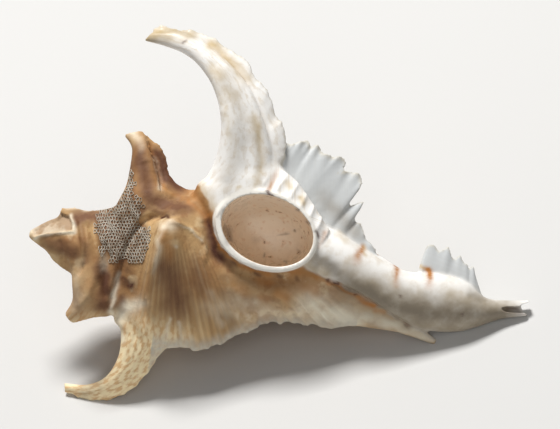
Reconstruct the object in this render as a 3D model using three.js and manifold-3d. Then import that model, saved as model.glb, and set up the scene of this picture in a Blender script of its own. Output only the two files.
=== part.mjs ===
// A murex shell with three varices to the whorl, lying on its back and one side with the mouth up.
// Every shape is made in the growth frame, in millimetres: X runs along the coiling axis from the apex to
// the canal, Z points out of the side that holds the mouth, and Y points towards the long lip spine.
// At the end the whole shell is turned to the pose in which it rests on a table.
import * as THREE from 'three';
import { LoftGeometry } from 'three/addons/geometries/LoftGeometry.js';
import { mergeVertices } from 'three/addons/utils/BufferGeometryUtils.js';
import Module from 'manifold-3d';

const wasm = await Module();
wasm.setup();

// The whorls: the outer surface's distance from the coiling axis, in degrees round it from +Y towards +Z.
// The lip varix stands at 30 degrees, the lower varix at 165 and the back varix at 270.
const BODY_ANGLES = [0, 30, 60, 90, 120, 145, 165, 180, 215, 250, 270, 290, 325];
const BODY_RADII = [
  // place along the axis, then one radius for each angle
  [0.0, 0.6, 0.5, 0.5, 0.5, 0.5, 0.5, 0.5, 0.5, 0.5, 0.5, 0.5, 0.5, 0.5],
  [1.8, 1.9, 1.6, 1.5, 1.5, 1.5, 1.5, 1.5, 1.4, 1.4, 1.4, 1.5, 1.4, 1.6],
  [4.0, 3.3, 3.0, 2.7, 2.6, 2.7, 2.8, 3.0, 2.8, 2.4, 2.6, 3.2, 2.6, 2.6],
  [6.5, 3.9, 3.9, 3.6, 3.7, 3.8, 3.9, 4.2, 3.9, 3.2, 3.4, 4.4, 3.4, 3.4],
  [9.0, 4.5, 4.6, 4.4, 4.5, 4.6, 5.0, 5.6, 5.2, 4.2, 4.0, 5.0, 4.0, 4.2],
  [11.5, 5.6, 5.6, 4.9, 4.8, 5.0, 5.8, 7.4, 6.6, 5.0, 4.6, 5.6, 4.8, 5.2],
  [14.0, 6.8, 6.8, 5.6, 5.2, 5.4, 6.8, 9.6, 7.8, 5.8, 5.6, 6.8, 5.6, 6.2],
  [16.0, 7.6, 7.6, 7.4, 6.8, 6.8, 8.2, 11.2, 8.8, 6.6, 6.4, 7.8, 6.4, 7.0],
  [18.0, 8.2, 8.4, 9.0, 8.2, 7.8, 9.2, 12.2, 9.0, 7.2, 7.2, 8.8, 7.0, 7.6],
  [21.0, 9.0, 9.4, 8.2, 7.5, 7.8, 9.2, 12.2, 8.6, 7.6, 7.8, 9.4, 7.6, 8.2],
  [25.0, 9.4, 10.0, 7.8, 6.9, 7.4, 8.8, 11.8, 8.2, 7.6, 8.0, 9.6, 7.8, 8.4],
  [29.0, 9.4, 10.2, 7.6, 6.6, 6.9, 7.6, 9.3, 7.2, 7.0, 7.6, 9.4, 7.6, 8.2],
  [33.0, 8.8, 9.6, 7.4, 6.4, 6.3, 6.2, 6.6, 5.8, 6.0, 6.8, 8.4, 6.8, 7.4],
  [37.0, 7.4, 8.2, 6.9, 6.0, 5.4, 5.3, 6.3, 5.0, 5.0, 5.6, 6.8, 5.6, 6.2],
  [41.0, 5.8, 6.4, 5.8, 5.2, 4.5, 4.5, 6.4, 4.6, 4.0, 4.4, 5.4, 4.4, 4.8],
  [44.0, 4.6, 5.0, 4.9, 4.4, 3.6, 3.6, 5.6, 3.8, 3.0, 3.2, 3.8, 3.2, 3.4],
  [50.0, 2.0, 2.4, 2.8, 2.8, 2.4, 2.4, 2.4, 2.2, 1.8, 1.6, 1.6, 1.6, 1.8],
];
const APEX_PACKING = 1.1; // the rings of the whorls stand closer together towards the apex

// The sutures of the spire: a groove that winds once round the axis between each whorl and the next
const SUTURE = { last: 14.6, lastAngle: 90, growth: 1.62, turns: 4, depth: 0.11, width: 0.085 };

// The knob on the shoulder between two varices, on the side that faces up, and the keel that leaves it
const KNOB = { along: 18.3, angle: 68, height: 1.0, reach: 2.0, spread: 20 };
const KEEL = { along: 17.2, angle: 118, height: 0.7, reach: 1.3, spread: 34 };

// The mouth, an oval in the plane of the front
const MOUTH = { x: 30.7, y: 5.1, long: 6.04, short: 4.37, turn: -12.7, top: 7.9 };
const RIM = { thin: 0.45, thick: 1.05, thickSide: 215, foot: 4.6, flare: 1.1 };
// The room inside it: height, share of the mouth's oval, and how far the oval moves along X and Y
const HOLLOW = [
  [-1.5, 0.12, 0.5, -0.5], [-1.2, 0.46, 0.5, -0.5], [-0.2, 0.74, 0.4, -0.4], [1.6, 0.92, 0.2, -0.2],
  [3.9, 1.02, 0.1, -0.1], [6.4, 1.01, 0.0, 0.0], [8.6, 1.03, 0.0, 0.0],
];

// The canal: place along the axis, then the middle's Y and Z and the half widths in Y and Z
const CANAL = [
  [33.0, 3.6, 2.6, 2.6, 2.6],
  [36.5, 3.9, 3.2, 3.0, 3.4],
  [40.0, 2.9, 3.0, 3.3, 3.5],
  [44.0, 1.0, 2.4, 3.4, 3.4],
  [49.0, -0.8, 1.4, 3.4, 3.2],
  [54.0, -0.9, 0.6, 3.8, 3.1],
  [57.5, -0.9, 0.2, 3.3, 2.8],
  [60.0, -1.2, 0.0, 1.9, 2.0],
  [62.5, -0.6, -0.2, 1.25, 1.3],
  [65.8, 0.1, -0.5, 1.05, 1.0],
];
const CANAL_BORE = { from: 62.4, to: 67.0, radius: 0.62, rise: 0.45, tall: 1.6 };

// The window broken into the tip of the spire: its corners seen from the front, and its floor
const TIP_WINDOW = {
  corners: [[1.7, 0.5], [5.7, 1.3], [5.4, 2.5], [3.6, 1.9]], floor: 0.45, top: 3.0, slant: 0.38,
};

// The pose in which the shell rests, on the back spine, the lower spine and the stub: the way that is up
// there, in the growth frame, and how much the three points are worn flat by what they rest on
const REST_UP = [-0.2472, 0.6537, 0.7152];
const FLOOR_WEAR = 0.3;

const rad = THREE.MathUtils.degToRad;
const clamp01 = (value) => Math.min(1, Math.max(0, value));
const hump = (distance) => Math.exp(-distance * distance);
const vec = ([x, y, z]) => new THREE.Vector3(x, y, z);

// Reads a smooth curve through the rows of a table, whose first column rises, at one value of it.
function readTable(rows, value) {
  const last = rows.length - 1;
  let row = 0;
  while (row < last - 1 && value > rows[row + 1][0]) row += 1;
  const [x0, x1] = [rows[row][0], rows[row + 1][0]];
  const t = clamp01((value - x0) / (x1 - x0));
  const slope = (at, column) => {
    const [before, after] = [Math.max(at - 1, 0), Math.min(at + 1, last)];
    return (rows[after][column] - rows[before][column]) / (rows[after][0] - rows[before][0]);
  };
  return rows[row].slice(1).map((low, index) => {
    const column = index + 1;
    const high = rows[row + 1][column];
    const start = slope(row, column) * (x1 - x0);
    const end = slope(row + 1, column) * (x1 - x0);
    return low + t * (start + t * (3 * (high - low) - 2 * start - end + t * (start + end - 2 * (high - low))));
  });
}

// A smooth curve through points, read from 0 to 1.
function curveThrough(points) {
  const curve = new THREE.CatmullRomCurve3(points.map(vec), false, 'catmullrom', 0.5);
  return (share) => curve.getPoint(share);
}

// The degrees from one angle to another, the short way round.
const offTurn = (angle, middle) => ((angle - middle + 180) % 360 + 360) % 360 - 180;

// The share of the radius that the sutures take away at a place.
function sutureDepth(along, angle) {
  const { last, lastAngle, growth, turns, depth, width } = SUTURE;
  const wound = ((angle - lastAngle) / 360 % 1 + 1) % 1;
  let groove = 0;
  for (let turn = 1; turn <= turns; turn += 1) {
    const place = last * growth ** (wound - turn);
    groove = Math.max(groove, hump((along - place) / (width * place)));
  }
  return depth * groove;
}

// The outer surface's distance from the coiling axis.
function bodyRadius(along, angle) {
  const radii = readTable(BODY_RADII, along);
  const count = radii.length;
  const around = [-1, 0, 1].flatMap((lap) => (
    radii.map((radius, index) => [BODY_ANGLES[index] + 360 * lap, radius])
  ));
  let radius = readTable(around.slice(count - 2, 2 * count + 2), angle)[0];
  radius *= 1 - sutureDepth(along, angle);
  for (const { along: place, angle: middle, height, reach, spread } of [KNOB, KEEL]) {
    radius += height * hump(offTurn(angle, middle) / spread) * hump((along - place) / reach);
  }
  return radius;
}

function bodyGeometry(rings = 38, around = 48) {
  const length = BODY_RADII[BODY_RADII.length - 1][0];
  const sections = [];
  for (let ring = 0; ring <= rings; ring += 1) {
    const along = length * Math.expm1(APEX_PACKING * ring / rings) / Math.expm1(APEX_PACKING);
    const points = [];
    for (let step = 0; step < around; step += 1) {
      const angle = 360 * step / around;
      const radius = bodyRadius(along, angle);
      points.push(vec([along, radius * Math.cos(rad(angle)), radius * Math.sin(rad(angle))]));
    }
    sections.push(points);
  }
  return new LoftGeometry(sections, { capStart: true, capEnd: true });
}

function canalGeometry(rings = 20, around = 16) {
  const [from, to] = [CANAL[0][0], CANAL[CANAL.length - 1][0]];
  const sections = [];
  for (let ring = 0; ring <= rings; ring += 1) {
    const along = from + (to - from) * ring / rings;
    const [y, z, halfY, halfZ] = readTable(CANAL, along);
    const points = [];
    for (let step = 0; step < around; step += 1) {
      const angle = 2 * Math.PI * step / around;
      points.push(vec([along, y + halfY * Math.cos(angle), z + halfZ * Math.sin(angle)]));
    }
    sections.push(points);
  }
  return new LoftGeometry(sections, { capStart: true, capEnd: true });
}

// A blade or horn that spans two edge curves. Its section is a flat oval as thick as `thick` says along its
// length, which narrows or widens to `rim` times that at the outer edge, and pleats run across it.
function bladeGeometry({ inner, outer, thick, rim = 1, pleats = 0, pleatDepth = 0, steps, around }) {
  const [innerAt, outerAt] = [curveThrough(inner), curveThrough(outer)];
  const thickRows = thick.map((value, index) => [index / (thick.length - 1), value]);
  const sections = [];
  for (let step = 0; step <= steps; step += 1) {
    const share = step / steps;
    const [low, high] = [innerAt(share), outerAt(share)];
    const across = high.clone().sub(low);
    const travel = innerAt(Math.min(1, share + 0.01)).sub(innerAt(Math.max(0, share - 0.01)))
      .add(outerAt(Math.min(1, share + 0.01)).sub(outerAt(Math.max(0, share - 0.01))));
    const normal = across.clone().cross(travel).normalize();
    const points = [];
    for (let corner = 0; corner < around; corner += 1) {
      const angle = 2 * Math.PI * corner / around;
      const width = (1 - Math.cos(angle)) / 2;
      const half = readTable(thickRows, share)[0] / 2 * (1 + (rim - 1) * width);
      const lift = half * Math.sin(angle) + pleatDepth * width * Math.sin(2 * Math.PI * pleats * share);
      points.push(low.clone().addScaledVector(across, width).addScaledVector(normal, lift));
    }
    sections.push(points);
  }
  return new LoftGeometry(sections, { capStart: true, capEnd: true });
}

// The long hooked spine of the lip
const LIP_SPINE = {
  inner: [
    [22.0, 2.0, 4.6], [19.8, 8.6, 4.6], [21.9, 11.0, 5.2], [22.8, 14.2, 6.0], [22.6, 18.6, 6.6],
    [20.6, 23.0, 6.4], [17.4, 25.9, 5.6], [14.0, 26.9, 4.6], [11.5, 27.2, 3.8],
  ],
  outer: [
    [33.5, 2.0, 4.6], [32.0, 8.6, 4.8], [30.4, 12.6, 5.0], [29.6, 16.0, 5.6], [28.0, 19.6, 6.0],
    [25.4, 23.3, 5.8], [21.2, 26.7, 5.0], [16.4, 28.7, 4.4], [11.5, 28.2, 3.8],
  ],
  thick: [6.4, 6.2, 5.2, 4.2, 3.6, 3.0, 2.5, 1.9, 1.0], steps: 16, around: 10,
};
// The thin crest behind its outer edge
const LIP_CREST = {
  inner: [[28.6, 13.0, 3.8], [27.4, 18.0, 4.6], [25.0, 22.0, 4.8], [21.2, 25.0, 4.2], [15.6, 27.6, 3.6]],
  outer: [
    [31.6, 15.6, 3.4], [30.8, 18.9, 4.0], [29.7, 20.0, 4.2], [27.9, 23.3, 4.6], [26.3, 24.5, 4.6],
    [24.6, 26.8, 4.4], [22.2, 27.6, 4.2], [20.0, 28.8, 4.0], [17.0, 29.4, 3.8],
  ],
  thick: [1.6, 1.4, 1.2], rim: 0.5, steps: 20, around: 6,
};
// The pleated wing between the lip spine and the canal
const LIP_WING = {
  inner: [[28.5, 9.5, 3.6], [31.5, 8.5, 3.6], [35.0, 6.4, 3.4], [39.0, 4.0, 3.0], [44.6, 1.6, 2.4]],
  outer: [
    [30.6, 16.4, 3.0], [32.2, 16.5, 2.8], [33.5, 17.5, 2.6], [35.2, 17.1, 2.4], [37.4, 16.0, 2.2],
    [39.7, 15.4, 2.0], [39.0, 14.3, 2.0], [41.3, 14.0, 1.8], [42.0, 12.6, 1.8], [40.8, 10.4, 2.0],
    [42.6, 10.7, 1.8], [41.9, 8.5, 1.8], [42.9, 7.7, 1.8], [43.4, 6.0, 1.8], [44.9, 5.2, 1.8], [46.0, 3.2, 2.0],
  ],
  thick: [2.2, 2.0, 1.8, 1.6], rim: 0.4, pleats: 7, pleatDepth: 0.4, steps: 36, around: 6,
};
// The knobbly ridge of the outer lip, along the mouth
const LIP_RIDGE = {
  inner: [[28.0, 7.6, 5.6], [31.5, 7.2, 5.8], [34.2, 5.8, 5.8], [36.0, 4.0, 5.6], [36.6, 2.2, 5.0]],
  outer: [[30.6, 13.8, 5.0], [33.4, 12.1, 5.2], [35.6, 9.9, 5.2], [37.6, 7.6, 5.0], [39.4, 5.4, 4.4]],
  thick: [4.0, 4.2, 4.0, 3.6], rim: 0.75, pleats: 6, pleatDepth: 0.3, steps: 24, around: 8,
};
// The fin near the end of the canal
const CANAL_FIN = {
  inner: [[50.6, 1.0, 0.8], [53.5, 1.0, 0.6], [57.0, 0.4, 0.3], [60.2, -0.4, 0.0]],
  outer: [
    [51.2, 3.2, 0.8], [51.6, 6.1, 0.8], [52.8, 6.4, 0.7], [54.3, 6.2, 0.6], [55.1, 5.2, 0.5],
    [56.2, 5.4, 0.4], [57.2, 4.3, 0.4], [58.1, 4.2, 0.3], [58.6, 3.0, 0.2], [59.4, 1.4, 0.1], [60.6, 0.2, 0.0],
  ],
  thick: [1.8, 1.8, 1.6, 1.2], rim: 0.45, steps: 20, around: 6,
};

// The spine of the lower varix
const LOW_SPINE = {
  inner: [
    [15.0, -2.0, 1.4], [12.6, -8.6, 2.0], [13.7, -10.6, 1.8], [13.9, -13.8, 1.0], [12.7, -16.8, -0.4],
    [10.4, -18.3, -1.8], [7.7, -18.7, -3.0],
  ],
  outer: [
    [27.0, -2.0, 1.6], [23.6, -9.6, 2.4], [19.3, -12.4, 2.0], [17.9, -15.2, 1.0], [15.4, -18.4, -0.6],
    [11.8, -20.2, -2.2], [7.7, -19.5, -3.0],
  ],
  thick: [6.0, 5.0, 4.0, 3.1, 2.3, 1.6, 0.8], steps: 14, around: 10,
};

// The back varix, under the shell
const BACK_SPINE = {
  inner: [
    [17.0, 0.0, -3.0], [17.4, 0.0, -8.0], [19.6, 0.0, -10.8], [19.4, -0.2, -13.0], [17.6, -0.4, -14.9],
    [14.8, -0.6, -16.2], [12.4, -0.8, -16.6],
  ],
  outer: [
    [31.0, 0.0, -3.0], [29.6, 0.0, -8.4], [27.0, 0.0, -11.6], [24.6, -0.2, -14.2], [21.4, -0.4, -16.6],
    [16.8, -0.6, -17.9], [12.4, -0.8, -17.6],
  ],
  thick: [6.4, 5.0, 3.8, 3.1, 2.4, 1.8, 1.0], steps: 14, around: 10,
};
const BACK_WING = {
  inner: [[24.0, 0.0, -6.0], [31.0, 0.0, -5.0], [37.0, 0.0, -3.2], [45.0, 0.0, -1.4]],
  outer: [
    [25.6, -0.2, -12.6], [28.2, -0.2, -12.8], [29.6, -0.2, -11.8], [32.0, -0.1, -12.0], [34.6, 0.0, -11.2],
    [35.6, 0.0, -9.8], [38.4, 0.0, -9.6], [40.2, 0.0, -8.0], [42.6, 0.0, -7.2], [45.0, 0.0, -5.0],
    [47.4, 0.0, -3.0],
  ],
  thick: [3.4, 3.0, 2.4], rim: 0.28, pleats: 6, pleatDepth: 0.3, steps: 22, around: 6,
};

// The varices of the whorl before, and the worn flanges of the first ones
const OLD_TOP_SPINE = {
  inner: [
    [9.5, 0.5, 1.6], [10.6, 5.0, 2.4], [11.6, 8.0, 2.4], [11.8, 11.0, 2.0], [11.6, 13.2, 1.4],
    [10.4, 14.6, 0.8],
  ],
  outer: [
    [22.5, 0.5, 3.0], [20.6, 8.2, 3.4], [17.4, 9.9, 2.6], [16.3, 12.1, 2.0], [14.9, 14.1, 1.4],
    [12.9, 15.5, 0.8],
  ],
  thick: [6.0, 5.6, 4.0, 2.8, 2.0, 1.1], steps: 14, around: 10,
};
const EARLY_TOP_FLANGE = {
  inner: [[3.0, 0.4, 0.8], [7.0, 1.0, 1.2], [12.0, 2.0, 1.8]],
  outer: [
    [3.7, 4.2, 0.8], [5.4, 4.4, 1.0], [7.4, 4.4, 1.2], [9.4, 4.9, 1.6], [11.0, 5.6, 2.2], [12.0, 6.8, 2.4],
  ],
  thick: [2.4, 3.6, 4.6], rim: 0.16, steps: 12, around: 8,
};
const OLD_LOW_SPINE = {
  inner: [[6.0, -1.0, 1.6], [6.4, -4.8, 2.0], [6.9, -7.4, 1.4], [6.2, -9.5, 0.6]],
  outer: [[14.0, -1.0, 1.6], [13.4, -7.8, 2.2], [9.8, -9.5, 1.4], [7.4, -10.6, 0.6]],
  thick: [5.2, 4.4, 2.6, 0.9], steps: 10, around: 8,
};
const EARLY_LOW_FLANGE = {
  inner: [[3.0, 0.0, 0.8], [5.0, -0.6, 1.0], [7.6, -1.4, 1.4]],
  outer: [[3.2, -2.7, 0.8], [3.9, -3.3, 0.9], [5.4, -4.1, 1.0], [6.8, -4.6, 1.3], [8.0, -5.2, 1.6]],
  thick: [2.0, 3.0, 4.0], rim: 0.2, steps: 8, around: 6,
};
const OLD_BACK_SPINE = {
  inner: [[10.0, 0.0, -1.0], [10.4, 0.0, -5.4], [11.8, 0.0, -8.0], [11.4, 0.0, -10.4]],
  outer: [[19.0, 0.0, -1.0], [18.0, 0.0, -6.0], [15.6, 0.0, -9.2], [13.2, 0.0, -11.2]],
  thick: [4.6, 3.8, 2.4, 1.0], steps: 8, around: 8,
};
const EARLY_BACK_FLANGE = {
  inner: [[4.0, 0.0, -0.6], [8.0, 0.0, -1.4], [11.6, 0.0, -2.4]],
  outer: [[4.6, 0.0, -3.6], [6.2, 0.0, -4.8], [8.4, 0.0, -5.2], [10.4, 0.0, -5.6], [12.4, 0.0, -6.4]],
  thick: [1.8, 2.4, 3.0], rim: 0.3, steps: 8, around: 6,
};

// The worn stub of the canal that the last varix but one had
const CANAL_STUB = {
  inner: [[36.0, -0.6, 1.4], [44.0, -2.0, 0.9], [49.0, -3.4, 0.6], [54.6, -5.8, 0.0]],
  outer: [[36.0, -4.8, 1.2], [44.0, -5.5, 0.8], [49.6, -5.6, 0.6], [54.4, -6.4, 0.0]],
  thick: [3.4, 3.0, 2.2, 0.7], steps: 12, around: 8,
};

const BLADES = [
  LIP_SPINE, LIP_CREST, LIP_WING, LIP_RIDGE, CANAL_FIN, LOW_SPINE, BACK_SPINE, BACK_WING,
  OLD_TOP_SPINE, EARLY_TOP_FLANGE, OLD_LOW_SPINE, EARLY_LOW_FLANGE, OLD_BACK_SPINE,
  EARLY_BACK_FLANGE, CANAL_STUB,
];

// An oval round the mouth's middle at a height, `grow` wider than the mouth and `share` times its size.
function mouthOval(z, { grow = () => 0, share = 1, x = 0, y = 0 }, around = 32) {
  const turn = rad(MOUTH.turn);
  const points = [];
  for (let step = 0; step < around; step += 1) {
    const angle = 2 * Math.PI * step / around;
    const long = (MOUTH.long * share + grow(angle)) * Math.cos(angle);
    const short = (MOUTH.short * share + grow(angle)) * Math.sin(angle);
    points.push(vec([
      MOUTH.x + x + long * Math.cos(turn) - short * Math.sin(turn),
      MOUTH.y + y + long * Math.sin(turn) + short * Math.cos(turn),
      z,
    ]));
  }
  return points;
}

// The rim of the mouth, thickest on the side away from the lip, with a foot that flares into the whorl
function rimGeometry() {
  const wall = (angle) => RIM.thin + (RIM.thick - RIM.thin) * (1 + Math.cos(angle - rad(RIM.thickSide))) / 2;
  const height = MOUTH.top - RIM.foot;
  const sections = [
    [RIM.foot - 2, () => 0],
    [RIM.foot, (angle) => wall(angle) + RIM.flare],
    [RIM.foot + 0.4 * height, (angle) => wall(angle) + 0.25 * RIM.flare],
    [MOUTH.top - 0.35, wall],
    [MOUTH.top, (angle) => wall(angle) * 0.5],
  ].map(([z, grow]) => mouthOval(z, { grow }));
  return new LoftGeometry(sections, { capStart: true, capEnd: true });
}

function hollowGeometry() {
  return new LoftGeometry(HOLLOW.map(([z, share, x, y]) => mouthOval(z, { share, x, y })), {
    capStart: true, capEnd: true,
  });
}

// The broken window in the tip of the spire, a shallow pocket with a flat floor
function windowGeometry() {
  const { corners, floor, top, slant } = TIP_WINDOW;
  const sections = [floor, top].map((height, index) => corners.map(([x, y]) => (
    vec([x, y, height + slant * x + index])
  )));
  return new LoftGeometry(sections, { capStart: true, capEnd: true });
}

function canalBoreGeometry(steps = 4, around = 10) {
  const sections = [];
  for (let step = 0; step <= steps; step += 1) {
    const share = step / steps;
    const along = CANAL_BORE.from + (CANAL_BORE.to - CANAL_BORE.from) * share;
    const [y, z] = readTable(CANAL, Math.min(along, CANAL[CANAL.length - 1][0]));
    const radius = CANAL_BORE.radius * (0.5 + 0.5 * share);
    const points = [];
    for (let corner = 0; corner < around; corner += 1) {
      const angle = 2 * Math.PI * corner / around;
      const height = z + CANAL_BORE.rise + CANAL_BORE.tall * radius * Math.sin(angle);
      points.push(vec([along, y + radius * Math.cos(angle), height]));
    }
    sections.push(points);
  }
  return new LoftGeometry(sections, { capStart: true, capEnd: true });
}

// Turns a closed geometry into a solid that can be joined and cut.
function solid(geometry) {
  const bare = new THREE.BufferGeometry()
    .setIndex(geometry.index)
    .setAttribute('position', geometry.getAttribute('position'));
  const merged = mergeVertices(bare, 1e-4);
  return new wasm.Manifold(new wasm.Mesh({
    numProp: 3,
    vertProperties: merged.attributes.position.array,
    triVerts: new Uint32Array(merged.index.array),
  }));
}

function geometryOf(made) {
  const mesh = made.getMesh();
  const geometry = new THREE.BufferGeometry();
  geometry.setAttribute('position', new THREE.BufferAttribute(new Float32Array(mesh.vertProperties), 3));
  geometry.setIndex(new THREE.BufferAttribute(new Uint32Array(mesh.triVerts), 1));
  geometry.computeVertexNormals();
  return geometry;
}

// The whole shell in the growth frame, in one piece.
function grownShell() {
  let shell = solid(bodyGeometry()).add(solid(canalGeometry()));
  for (const blade of BLADES) shell = shell.add(solid(bladeGeometry(blade)));
  shell = shell.add(solid(rimGeometry()));
  for (const cutter of [hollowGeometry(), canalBoreGeometry(), windowGeometry()]) {
    shell = shell.subtract(solid(cutter));
  }
  return shell;
}

// The turn from the growth frame to the resting pose, with the coiling axis over +X.
function restTurn() {
  const up = vec(REST_UP).normalize();
  const side = up.clone().cross(new THREE.Vector3(1, 0, 0)).normalize();
  const along = side.clone().cross(up);
  const basis = new THREE.Matrix4().makeBasis(along, side, up);
  return new THREE.Quaternion().setFromRotationMatrix(basis.transpose());
}

// Wears the resting points flat, and puts the origin under the middle of the shell's box.
function layDown(shell) {
  const geometry = geometryOf(shell).applyQuaternion(restTurn());
  geometry.computeBoundingBox();
  const { min, max } = geometry.boundingBox;
  geometry.translate(-(min.x + max.x) / 2, -(min.y + max.y) / 2, -min.z - FLOOR_WEAR);
  const floor = new THREE.BoxGeometry(4 * (max.x - min.x), 4 * (max.y - min.y), 10).translate(0, 0, -5);
  return geometryOf(solid(geometry).subtract(solid(floor)));
}

const shellMaterial = new THREE.MeshStandardMaterial({ color: 0xd9c3a0, roughness: 0.5, metalness: 0 });
const shell = new THREE.Mesh(layDown(grownShell()), shellMaterial);
shell.name = 'shell';

const murex = new THREE.Group();
murex.add(shell);
export default murex;
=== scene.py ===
"""A murex shell with three varices to the whorl, lying with its mouth up on a pale floor.

The shell is drawn in its growth frame, in millimetres: X runs along the coiling axis from the apex to
the canal, Z points out of the side that holds the mouth and Y points towards the long lip spine. Each
form of the shell is a loft. The forms are fused by a voxel remesh, the relief is laid on, and the mouth
and the canal are cut out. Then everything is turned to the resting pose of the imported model, in metres.
"""

import logging
import math
from dataclasses import dataclass, field
from enum import Enum
from typing import Sequence

import bmesh
import bpy
import numpy as np
from mathutils import Matrix, Vector
from mathutils.bvhtree import BVHTree
from mathutils.kdtree import KDTree

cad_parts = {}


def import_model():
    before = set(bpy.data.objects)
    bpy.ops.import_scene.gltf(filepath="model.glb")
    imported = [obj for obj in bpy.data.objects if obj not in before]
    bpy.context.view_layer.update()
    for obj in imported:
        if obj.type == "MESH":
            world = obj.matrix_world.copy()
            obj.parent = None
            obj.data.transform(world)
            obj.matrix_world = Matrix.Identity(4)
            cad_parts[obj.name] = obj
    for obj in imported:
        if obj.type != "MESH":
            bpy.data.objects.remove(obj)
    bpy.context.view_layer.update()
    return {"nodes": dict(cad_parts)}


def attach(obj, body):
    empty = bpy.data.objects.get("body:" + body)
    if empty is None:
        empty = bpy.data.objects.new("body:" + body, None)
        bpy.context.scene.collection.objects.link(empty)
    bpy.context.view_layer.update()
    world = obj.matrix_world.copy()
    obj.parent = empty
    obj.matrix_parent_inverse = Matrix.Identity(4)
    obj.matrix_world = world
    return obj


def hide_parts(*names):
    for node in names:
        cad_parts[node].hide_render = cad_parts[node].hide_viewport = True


LOG = logging.getLogger("murex")

MM = 0.001

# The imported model's resting pose: which way is up in the growth frame, and where its origin lies, in mm
REST_UP = (-0.2472, 0.6537, 0.7152)
REST_PLACE = (-31.90628, -2.62438, 17.44552)

# The photograph's framing in the growth frame
PHOTO_TURN = 8.5  # degrees from the coiling axis to the picture's horizontal
PHOTO_MIDDLE = (32.0, 7.4, 3.0)
PHOTO_WIDTH = 72.8
CAMERA_DISTANCE = 900.0

RAGGED_SPAN = 40.0  # mm of ragged edge that each blade shows, whatever its length

Vec3 = tuple[float, float, float]
Points = np.ndarray


class Region(Enum):
    """The forms of the shell, as the materials tell them apart."""

    BODY = "body"
    CANAL = "canal"
    LIP_SPINE = "lip_spine"
    LIP_CREST = "lip_crest"
    LIP_WING = "lip_wing"
    LIP_RIDGE = "lip_ridge"
    CANAL_FIN = "canal_fin"
    LOW_SPINE = "low_spine"
    BACK_SPINE = "back_spine"
    BACK_WING = "back_wing"
    OLD_SPINE = "old_spine"
    EARLY_FLANGE = "early_flange"
    STUB = "stub"
    RIM = "rim"
    HOLLOW = "hollow"


def hump(distance: Points | float) -> Points | float:
    """Return a bell of height 1 at distance 0."""
    return np.exp(-np.square(distance))


def ease(value: Points | float) -> Points | float:
    """Return 0 below 0, 1 above 1, and a smooth step between."""
    share = np.clip(value, 0.0, 1.0)
    return share * share * (3.0 - 2.0 * share)


def between(foot: Points, rise: Points, start: Points, end: Points, share: Points) -> Points:
    """Return the place a share of the way along a curve from `foot`, with its slopes at both ends."""
    bend = 3 * rise - 2 * start - end
    return foot + share * (start + share * (bend + share * (start + end - 2 * rise)))


def read_table(rows: Sequence[Sequence[float]], values: Points) -> Points:
    """Read smooth curves through the rows of a table.

    Args:
        rows: The table; its first column rises.
        values: Where to read it, in the first column's measure.

    Returns:
        One row for each value, with the other columns.
    """
    table = np.asarray(rows, float)
    keys, data = table[:, 0], table[:, 1:]
    last = len(keys) - 1
    before = np.maximum(np.arange(last + 1) - 1, 0)
    after = np.minimum(np.arange(last + 1) + 1, last)
    slopes = (data[after] - data[before]) / (keys[after] - keys[before])[:, None]
    values = np.asarray(values, float)
    low = np.clip(np.searchsorted(keys, values, side="right") - 1, 0, last - 1)
    span = (keys[low + 1] - keys[low])[:, None]
    share = np.clip((values - keys[low]) / span[:, 0], 0.0, 1.0)[:, None]
    return between(data[low], data[low + 1] - data[low], slopes[low] * span, slopes[low + 1] * span, share)


def curve_through(points: Sequence[Vec3], shares: Points) -> Points:
    """Read a smooth curve through points.

    Args:
        points: What the curve runs through.
        shares: Where to read it, from 0 at the first point to 1 at the last.

    Returns:
        One point for each share.
    """
    knots = np.asarray(points, float)
    knots = np.vstack([2 * knots[0] - knots[1], knots, 2 * knots[-1] - knots[-2]])
    place = np.clip(np.asarray(shares, float), 0.0, 1.0) * (len(points) - 1)
    first = np.minimum(place.astype(int), len(points) - 2)
    step = (place - first)[:, None]
    p0, p1, p2, p3 = (knots[first + k] for k in range(4))
    return between(p1, p2 - p1, (p2 - p0) / 2, (p3 - p1) / 2, step)


def ragged(along: Points, size: float) -> Points:
    """Return the wiggle of a broken edge, up to about `size` high, at places along it, all in mm."""
    slow = np.sin(1.9 * along + 0.6 * np.sin(0.7 * along)) + 0.7 * np.sin(3.7 * along + 1.3)
    return size * 0.5 * (slow + 0.6 * np.sin(7.3 * along + 2.0 * np.sin(1.1 * along)))


def wave(points: Points, scale: float, seed: float) -> Points:
    """Return a smooth wandering value from -1 to 1 at each point.

    Args:
        points: Where to read it, one row each.
        scale: The size of its swells, in the points' measure.
        seed: Picks one of the many such fields.

    Returns:
        One value for each point.
    """
    total = np.zeros(len(points))
    for turn in range(5):
        way = np.array([
            math.sin(1.3 + 2.1 * turn + seed), math.cos(0.7 + 1.7 * turn - seed),
            math.sin(2.9 * turn + 2 * seed),
        ])
        phase = seed * (3.1 + turn)
        bend = 0.9 * np.sin(points @ way[::-1] / scale + phase)
        total += np.sin(points @ (way * (1.0 + 0.31 * turn)) / scale * 2.2 + phase + bend)
    return total / 3.2


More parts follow.
